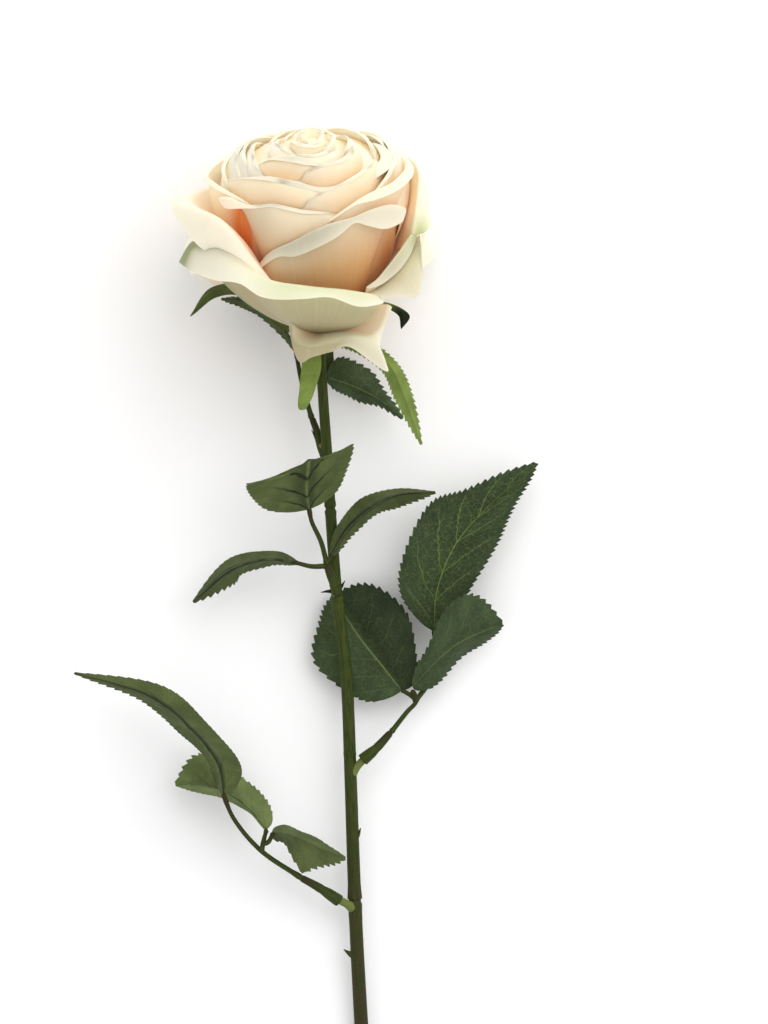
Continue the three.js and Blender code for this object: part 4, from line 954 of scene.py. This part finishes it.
# %% the calyx
HIP = [(0, -6), (2.4, -6), (4.8, -4.2), (6, -2), (5.4, -1.6), (0, -1.6)]  # distance and height in the bloom
HIP_SHADE = 0.5
SEPALS = [
    {  # thin, curled to the left
        "rib": [(4.5, 115.8, 25), (-9, 121.6, 26.8), (-24, 134.5, 32),
                (-36.5, 134.5, 29), (-45.5, 124.5, 22)],
        "left": [(-8.4, 123.2, 26), (-23.5, 136.5, 29.5), (-37.5, 135.5, 27)],
        "right": [(-9.6, 119.8, 25.4), (-24.5, 132, 29.5), (-35, 132, 26.5)],
        "look": (0.4, 0.1, 0.0, 0.0),
    },
    {  # short, hanging in front
        "rib": [(6, 115.8, 26.6), (3, 109.6, 37.6), (2.5, 102, 41), (1.5, 94.5, 41), (-0.5, 87, 39)],
        "left": [(6.8, 109.5, 36), (6.2, 101, 39), (3.8, 94, 39.5)],
        "right": [(-0.4, 109, 36), (-1, 101, 39), (-2, 93.5, 39.5)],
        "look": (1.15, 0.1, 0.0, 0.0), "tip": 0.4,
    },
    {  # long and toothed, hanging to the right
        "rib": [(6.8, 115.6, 26.4), (21.5, 113, 38), (34, 105, 40.5), (40.5, 91.5, 38), (47, 73, 33)],
        "left": [(19.5, 110.8, 37), (31.5, 102.4, 38), (37.4, 89.8, 36)],
        "right": [(22.6, 116, 37), (36.4, 106, 38.5), (43, 92.8, 36.5)],
        "look": (1.0, 0.1, 0.0, 0.0), "bite": 0.8,
    },
    {  # short, with a dark tip bent down on the right
        "rib": [(7, 115.8, 25.8), (19, 117.8, 30.2), (30, 128.5, 38), (39, 126.5, 36), (39, 119.5, 30)],
        "left": [(20, 116.6, 29.6), (30.5, 127, 36), (37.5, 125, 33)],
        "right": [(18.5, 120, 29.4), (29.5, 130, 36), (42, 125, 34)],
        "look": (0.75, 0.1, 0.0, 0.0), "dark_tip": 0.9,
    },
    {  # behind
        "rib": [(6.5, 115.8, 23.4), (8.5, 112.6, 16.5), (9.2, 108.5, 11.5), (10, 103, 8), (10.5, 98, 6)],
        "left": [(11, 114, 16), (11.6, 109, 11), (12, 103.5, 8)],
        "right": [(6.2, 112, 16), (6.8, 107, 11), (8, 102.5, 8)],
        # Its low shade is painted shade, for it hangs beneath the stem.
        "look": (0.25, 0.1, 0.0, 0.0),
    },
]
PLAIN_SEPAL = {"bite": 0.0, "folds": 0.1, "thick": 0.5, "keel": 0.35}
sepal_parts = [leaf_part({**PLAIN_SEPAL, **sepal, "seed": SEED_STEP * k}) for k, sepal in enumerate(SEPALS)]
hip_points, hip_faces = turned(HIP, sides=40, steps=40)
hip_marks = {key: np.zeros(len(hip_points)) for key in ("side", "along", "veins", "folds", "groove", "upper")}
hip_marks.update(place=np.zeros((len(hip_points), 3)), shade=np.full(len(hip_points), HIP_SHADE))
calyx = make_piece("calyx_skin", sepal_parts + [(hip_points, hip_faces, hip_marks)], ["calyx"])

# %% [markdown]
# Materials are node trees. A small class lets them be written as sums: it wraps one output and turns an
# arithmetic expression into Math nodes, and one method adds any other node.

# %% writing node trees
class Dye:
    """One output of a node, or with none the start of a tree."""

    def __init__(self, tree, socket=None):
        self.tree, self.socket = tree, socket

    def node(self, kind, settings=None, inputs=None, out=0):
        """Adds a node: its settings first, then values or links of its sockets, by name or number."""
        made = self.tree.nodes.new(kind)
        for key, value in (settings or {}).items():
            if key == "stops":
                ramp = made.color_ramp
                while len(ramp.elements) < len(value):
                    ramp.elements.new(0.5)
                for stop, (where, colour) in zip(ramp.elements, value):
                    stop.position, stop.color = where, (*colour, 1)
            else:
                setattr(made, key, value)
        for key, value in (inputs or {}).items():
            if isinstance(value, Dye):
                self.tree.links.new(value.socket, made.inputs[key])
            else:
                made.inputs[key].default_value = value
        return Dye(self.tree, made.outputs[out])

    def maths(self, operation, other=0.0, first=None):
        """A Math node on this value and another, or on a first value and this one."""
        left, right = (self, other) if first is None else (first, self)
        return self.node("ShaderNodeMath", {"operation": operation}, {0: left, 1: right})

    def __add__(self, other): return self.maths("ADD", other)
    def __radd__(self, other): return self.maths("ADD", first=other)
    def __sub__(self, other): return self.maths("SUBTRACT", other)
    def __rsub__(self, other): return self.maths("SUBTRACT", first=other)
    def __mul__(self, other): return self.maths("MULTIPLY", other)
    def __rmul__(self, other): return self.maths("MULTIPLY", first=other)

    def clipped(self):
        """Kept between 0 and 1."""
        return self.node("ShaderNodeClamp", None, {0: self})

    def eased(self, low, high):
        """0 below low and 1 above high, with a smooth rise between."""
        return self.node("ShaderNodeMapRange", {"interpolation_type": "SMOOTHSTEP"},
                         {0: self, 1: low, 2: high})

    def mark(self, name, out="Fac"):
        """A value stored on the mesh."""
        return self.node("ShaderNodeAttribute", {"attribute_name": name}, out=out)

    def noise(self, where, scale, detail=3.0, rough=0.55, out=0):
        """A cloudy value from 0 to 1: the scale is in clouds to the unit, and the detail in finer octaves."""
        return self.node("ShaderNodeTexNoise", None,
                         {"Vector": where, "Scale": scale, "Detail": detail, "Roughness": rough}, out)

    def cracks(self, where, scale):
        """How far a place is from the border between the cells of a Voronoi pattern."""
        return self.node("ShaderNodeTexVoronoi", {"feature": "DISTANCE_TO_EDGE"},
                         {"Vector": where, "Scale": scale, "Randomness": 1.0})

    def vector(self, operation, place, other):
        """A Vector Math node on a place and another vector."""
        return self.node("ShaderNodeVectorMath", {"operation": operation}, {0: place, 1: other})

    def mixed(self, amount, one, other):
        """A colour between two others: each is the output of a node or three numbers."""
        one, other = (end if isinstance(end, Dye) else (*end, 1) for end in (one, other))
        return self.node("ShaderNodeMix", {"data_type": "RGBA"}, {0: amount, 6: one, 7: other}, 2)

    def bump(self, strength, distance, height):
        """A normal tilted by the slope of a height, over a distance in metres."""
        return self.node("ShaderNodeBump", None,
                         {"Strength": strength, "Distance": distance, "Height": height})


print("written with + - and *, and with", ", ".join(name for name in vars(Dye) if name[0] != "_"))

# %% [markdown]
# Every material starts from the Principled shader, which can be cloth as well as satin plastic. Constants are
# set on its sockets, what changes over the surface is wired to them, and a piece then wears the material.

# %% making and wearing a material
def new_material(name, **constants):
    """A material, the start of its tree, and its Principled shader with constants set on its own sockets."""
    material = bpy.data.materials.new(name)
    material.use_nodes = True
    shader = material.node_tree.nodes["Principled BSDF"]
    for key, value in constants.items():
        shader.inputs[key.replace("_", " ")].default_value = value
    return material, Dye(material.node_tree), shader


def wire(shader, **sockets):
    """Links each value to the shader's socket of that name."""
    for key, value in sockets.items():
        value.tree.links.new(value.socket, shader.inputs[key.replace("_", " ")])


def dress(material, *pieces):
    """Gives the pieces this material and no other."""
    for piece in pieces:
        piece.data.materials.clear()
        piece.data.materials.append(material)
    print(material.name, "has", len(material.node_tree.nodes), "nodes, on", len(pieces), "pieces")


print("three helpers: new_material, wire and dress")

# %% [markdown]
# Rose petals are matt and a little translucent, so light that enters one comes out soft and warm.
# The colour follows the depth in the bloom: orange at the root, peach on the body, ivory at the crest and
# almost white on the rolled lip. Fine lines run from root to margin, and a faint weave lies over all.

# %% petal cloth
# The deep orange near the root is partly the cloth's flush and partly painted light, the glow of light
# bounced between petals deep in the bloom.
DEPTH_COLOURS = [(0.0, (0.80, 0.20, 0.05)), (0.16, (0.88, 0.40, 0.15)), (0.3, (0.94, 0.64, 0.36)),
                 (0.44, (0.96, 0.79, 0.54)), (0.53, (0.96, 0.87, 0.64)), (1.0, (0.97, 0.91, 0.70))]
LINE_COLOUR = (0.80, 0.66, 0.46)
FULL_DEPTH = 2                        # at the margin
LINES_ACROSS, LINES_ALONG = 60, 1.5   # clouds across and along the petal, which makes long thin ones
DRIFT_SCALE, FUZZ_SCALE = 45, 260     # clouds to the metre: about 2 cm and 4 mm wide
WEAVE_SCALE = 900                     # threads finer than half a millimetre
DEPTH_DRIFT, TINT_DRIFT = 0.3, 0.5
GLOW_REACH = (0.0034, 0.0032, 0.003)  # metres that red, green and blue light travel in the cloth


def petal_material():
    """The colour of the depth, then each tint over it, then the lines.

    A cloudy drift is added to the depth and multiplies each tint, so that no border is even. The bumps are
    the sum of lines, fuzz and weave."""
    material, start, shader = new_material("petal_cloth", Roughness=0.65, Specular_IOR_Level=0.2,
                                           Subsurface_Weight=0.4, Subsurface_Radius=GLOW_REACH,
                                           Subsurface_Scale=1.0, Sheen_Weight=0.15, Sheen_Roughness=0.4)
    depth, across = start.mark("depth"), start.mark("across")
    place = start.node("ShaderNodeTexCoord", out="Object")
    drift = start.noise(place, DRIFT_SCALE, 4) - 0.5
    level = ((depth + drift * DEPTH_DRIFT) * (1 / FULL_DEPTH)).clipped()
    colour = start.node("ShaderNodeValToRGB", {"stops": DEPTH_COLOURS}, {0: level})
    # Some tints are painted light and shade, partly or wholly, as noted with their colours.
    for tint, shade in TINT_COLOURS.items():
        colour = start.mixed((start.mark(tint) * (1 + drift * TINT_DRIFT)).clipped(), colour, shade)
    fibres = start.node("ShaderNodeCombineXYZ", None,
                        {0: across * LINES_ACROSS, 1: depth * LINES_ALONG, 2: drift})
    lines = start.noise(fibres, 1.0, 2) - 0.5
    streaked = start.mixed((lines * 0.5).clipped(), colour, LINE_COLOUR)
    weave = start.node("ShaderNodeTexWave", {"wave_profile": "SIN"}, {"Vector": place, "Scale": WEAVE_SCALE})
    height = lines * 0.5 + start.noise(place, FUZZ_SCALE, 3) * 0.5 + weave * 0.06
    wire(shader, Base_Color=streaked, Normal=start.bump(0.2, 0.0005, height))
    return material


dress(petal_material(), *bloom)

# %% [markdown]
# The leaves are dark and matt, printed with paler veins: a midrib, side veins that slant forwards to the
# teeth, and a net between them. The net is the border between the cells of a Voronoi pattern laid on the
# blade in millimetres, so it is the same size on every leaf.

# %% leaf cloth
CREASE_SHADE_COLOUR = (0.012, 0.016, 0.007)
CLOUD_RANGE = (0.8, 1.2)  # factors on a colour, where it is clouded least and most
# Where a soft edge begins and ends: in shares of half the leaf's width,
MIDRIB_EDGE, GROOVE_INSIDE, GROOVE_OUTSIDE = (0.006, 0.035), (0.01, 0.05), (0.08, 0.38)
VEINS_FADE, FOLDS_FADE = (0.6, 1.0), (0.3, 0.8)
# in shares of the gap between two side veins,
VEIN_EDGE, FOLD_EDGE = (0.015, 0.05), (0.02, 0.13)
# and for the two nets in shares of a cell, after the number of cells to the millimetre.
COARSE_NET, FINE_NET = (0.5, (0.01, 0.07)), (1.3, (0.01, 0.09))
# Clouds to the millimetre: the veins wander, the nets bend and break off, the colour is clouded and woven.
WANDER_SCALE, BEND_SCALE, BREAK_SCALE, CLOUD_SCALE, THREAD_SCALE = 0.35, 0.9, 0.5, 0.12, 2.4


def clouded(start, cloud, colour):
    """The colour times a factor that follows the clouds."""
    return start.mixed(cloud, *([c * factor for c in colour] for factor in CLOUD_RANGE))


def leaf_material(name, upper_colour, under_colour, vein_colour):
    """The cloth's colour, mixed with the veins' where they are pale and with a dark painted shade in creases
    and beside the midrib.

    The midrib is where the side is near 0, and a side vein where the share along times the number of veins,
    less the slant times the side, is near a whole number. Both fade towards the margin."""
    material, start, shader = new_material(name, Roughness=0.75, Specular_IOR_Level=0.15)
    side, along, upper, shade, veins, folds, groove = (
        start.mark(key) for key in ("side", "along", "upper", "shade", "veins", "folds", "groove"))
    place = start.mark("place", out="Vector")
    out = side.maths("ABSOLUTE")
    wander = start.noise(place, WANDER_SCALE, 2) - 0.5
    midrib = (1 - out.eased(*MIDRIB_EDGE)) * (1 - along * 0.5)
    beat = (along * SIDE_VEINS - out * VEIN_SLANT + wander * 0.3).maths("FRACT") - 0.5
    near = 0.5 - beat.maths("ABSOLUTE")
    side_veins = (1 - near.eased(*VEIN_EDGE)) * (1 - out.eased(*VEINS_FADE))
    bent = start.vector("ADD", place, start.noise(place, BEND_SCALE, 2, out="Color"))
    coarse, fine = (1 - start.cracks(bent, scale).eased(*edge) for scale, edge in (COARSE_NET, FINE_NET))
    broken = start.noise(place, BREAK_SCALE, 3).eased(0.35, 0.6) * 0.7 + 0.3
    net = (coarse * 0.5 + fine * 0.3) * broken
    pale = ((midrib + side_veins * 0.6 + net * 0.9) * (1 - out * 0.6) * veins).clipped()
    # Painted shade: dark in the folds between side veins and in the groove beside the midrib.
    crease_shade = ((1 - near.eased(*FOLD_EDGE)) * (1 - out.eased(*FOLDS_FADE)) * folds
              + (out.eased(*GROOVE_INSIDE) - out.eased(*GROOVE_OUTSIDE)) * groove)
    cloud = start.noise(place, CLOUD_SCALE, 4).eased(0.3, 0.7)
    base = start.mixed(upper, clouded(start, cloud, under_colour), clouded(start, cloud, upper_colour))
    veined = start.mixed(pale, base, vein_colour)
    folded = start.mixed((crease_shade * 0.85).clipped(), veined, CREASE_SHADE_COLOUR)
    threads = start.noise(place, THREAD_SCALE, 3)
    shaded = start.node("ShaderNodeVectorMath", {"operation": "SCALE"},
                        {0: folded, "Scale": shade * (threads + 0.5)})
    height = threads * 0.5 - pale * upper * 0.8 + pale * (1 - upper) * 0.8 - crease_shade * 0.6
    wire(shader, Base_Color=shaded, Normal=start.bump(0.5, 0.0004, height), Roughness=0.65 + threads * 0.2)
    return material


leaf_colours = (0.031, 0.048, 0.020), (0.062, 0.080, 0.026), (0.17, 0.24, 0.07)
sepal_colours = (0.15, 0.21, 0.045), (0.16, 0.22, 0.05), (0.25, 0.34, 0.10)
dress(leaf_material("leaf_cloth", *leaf_colours), *blades)
dress(leaf_material("sepal_cloth", *sepal_colours), calyx)

# %% [markdown]
# The stem is a satin green skin over a wire, with brown and purple streaks that grow towards the cut end.
# They could be painted on, but noise that is drawn out along the rod gives the same streaks at any length. It
# reads the place on the unrolled skin, so it follows every bend.

# %% stem skin
DARK_GREEN, LIGHT_GREEN, BROWN = (0.020, 0.032, 0.005), (0.050, 0.068, 0.009), (0.036, 0.017, 0.012)
FRESH_GREEN, THORN_BROWN = (0.13, 0.16, 0.04), (0.02, 0.014, 0.008)
STRETCH = (1.2, 0.12, 1.0)  # clouds to the millimetre round the stem and along it
SPECK_SCALE = 1.2
GREENS_EDGE, LOW_END = (0.35, 0.65), (0.3, 1.0)  # of the noise, and of the share along the stem
STREAK_EDGE, SPECK_EDGE = (0.5, 0.62), (0.28, 0.55)


def stem_material():
    """Two greens, then brown where streaks and specks meet, then the fresh pegs and the brown thorns."""
    material, start, shader = new_material("stem_skin", Roughness=0.5, Specular_IOR_Level=0.12)
    place, along = start.mark("place", out="Vector"), start.mark("along")
    streak = start.noise(start.vector("MULTIPLY", place, STRETCH), 1.0, 5, 0.65)
    speck = start.noise(place, SPECK_SCALE, 4, 0.6)
    green = start.mixed(streak.eased(*GREENS_EDGE), DARK_GREEN, LIGHT_GREEN)
    low = along.eased(*LOW_END)
    worn = (streak + low * 0.1).eased(*STREAK_EDGE) * speck.eased(*SPECK_EDGE) * (low * 0.85 + 0.15)
    brown = start.mixed(worn.clipped(), green, BROWN)
    fresh = start.mixed(start.mark("fresh"), brown, FRESH_GREEN)
    tipped = start.mixed(start.mark("dark"), fresh, THORN_BROWN)
    bump = start.bump(0.5, 0.0005, streak * 0.6 + speck * 0.4)
    wire(shader, Base_Color=tipped, Normal=bump, Roughness=0.42 + speck * 0.2)
    return material


dress(stem_material(), stem, *stalks)

# %% [markdown]
# The rose lies on a plain pale table under a bright, even sky with one large soft lamp, which keeps the
# shadows faint, as a light tent does. A picture of a room as sky would do too, but an even one has no colour.

# %% table and light
TABLE_HALF, TABLE_DROP = 3.0, 0.0002  # metres: half its width, and how far it stays clear of the rose
PALE_GREY, SKY_STRENGTH = (0.94, 0.94, 0.94, 1), 0.93
LIGHT_BOUNCES = 10  # many, because light is passed on between the petals


def make_table():
    """A pale square under the rose."""
    corners = [(TABLE_HALF * x, TABLE_HALF * y, 0) for x, y in ((-1, -1), (1, -1), (1, 1), (-1, 1))]
    mesh = bpy.data.meshes.new("table")
    mesh.from_pydata(corners, [], [(0, 1, 2, 3)])
    table = bpy.data.objects.new("table", mesh)
    table.location.z = -TABLE_DROP
    scene.collection.objects.link(table)
    table.data.materials.append(new_material("pale_table", Roughness=0.8, Base_Color=PALE_GREY)[0])


def add_lamp(name, place, aim, size, power):
    """A square lamp that points from its place at its aim."""
    lamp = bpy.data.lights.new(name, "AREA")
    lamp.size, lamp.energy = size, power
    holder = bpy.data.objects.new(name, lamp)
    holder.location = place
    holder.rotation_euler = Vector(np.subtract(aim, place)).to_track_quat("-Z", "Y").to_euler()
    scene.collection.objects.link(holder)


scene.view_settings.view_transform = "Standard"
scene.cycles.diffuse_bounces = LIGHT_BOUNCES
make_table()
add_lamp("soft_lamp", (0.9, 1.2, 1.8), aim=(0.0, 0.05, 0.03), size=2.2, power=26)
world = bpy.data.worlds.new("pale_room")
world.use_nodes = True
sky = world.node_tree.nodes["Background"].inputs
sky["Color"].default_value = (1, 1, 1, 1)
sky["Strength"].default_value = SKY_STRENGTH
scene.world = world
print("table, m:", 2 * TABLE_HALF, "sky strength:", SKY_STRENGTH)

# %% [markdown]
# The photograph shows the rose flat, as if from far away. A camera twelve metres up, with a lens so long that
# 410 mm fill the frame's height, gives the same view.

# %% camera
VIEW_CENTRE, VIEW_HEIGHT = (0.032, 0.046), 0.4096  # metres
VIEW_LEVEL = 0.04  # metres over the table, about halfway up the bloom
CAMERA_DISTANCE, FILM_HEIGHT, FAR_LIMIT = 12.0, 36, 1000
lens = bpy.data.cameras.new("long_lens")
lens.sensor_fit = "VERTICAL"
lens.sensor_height = FILM_HEIGHT
lens.lens = FILM_HEIGHT * CAMERA_DISTANCE / VIEW_HEIGHT
lens.clip_end = FAR_LIMIT
camera = bpy.data.objects.new("camera", lens)
camera.location = (*VIEW_CENTRE, CAMERA_DISTANCE + VIEW_LEVEL)
scene.collection.objects.link(camera)
scene.camera = camera
print("lens, mm:", round(lens.lens))

# %% [markdown]
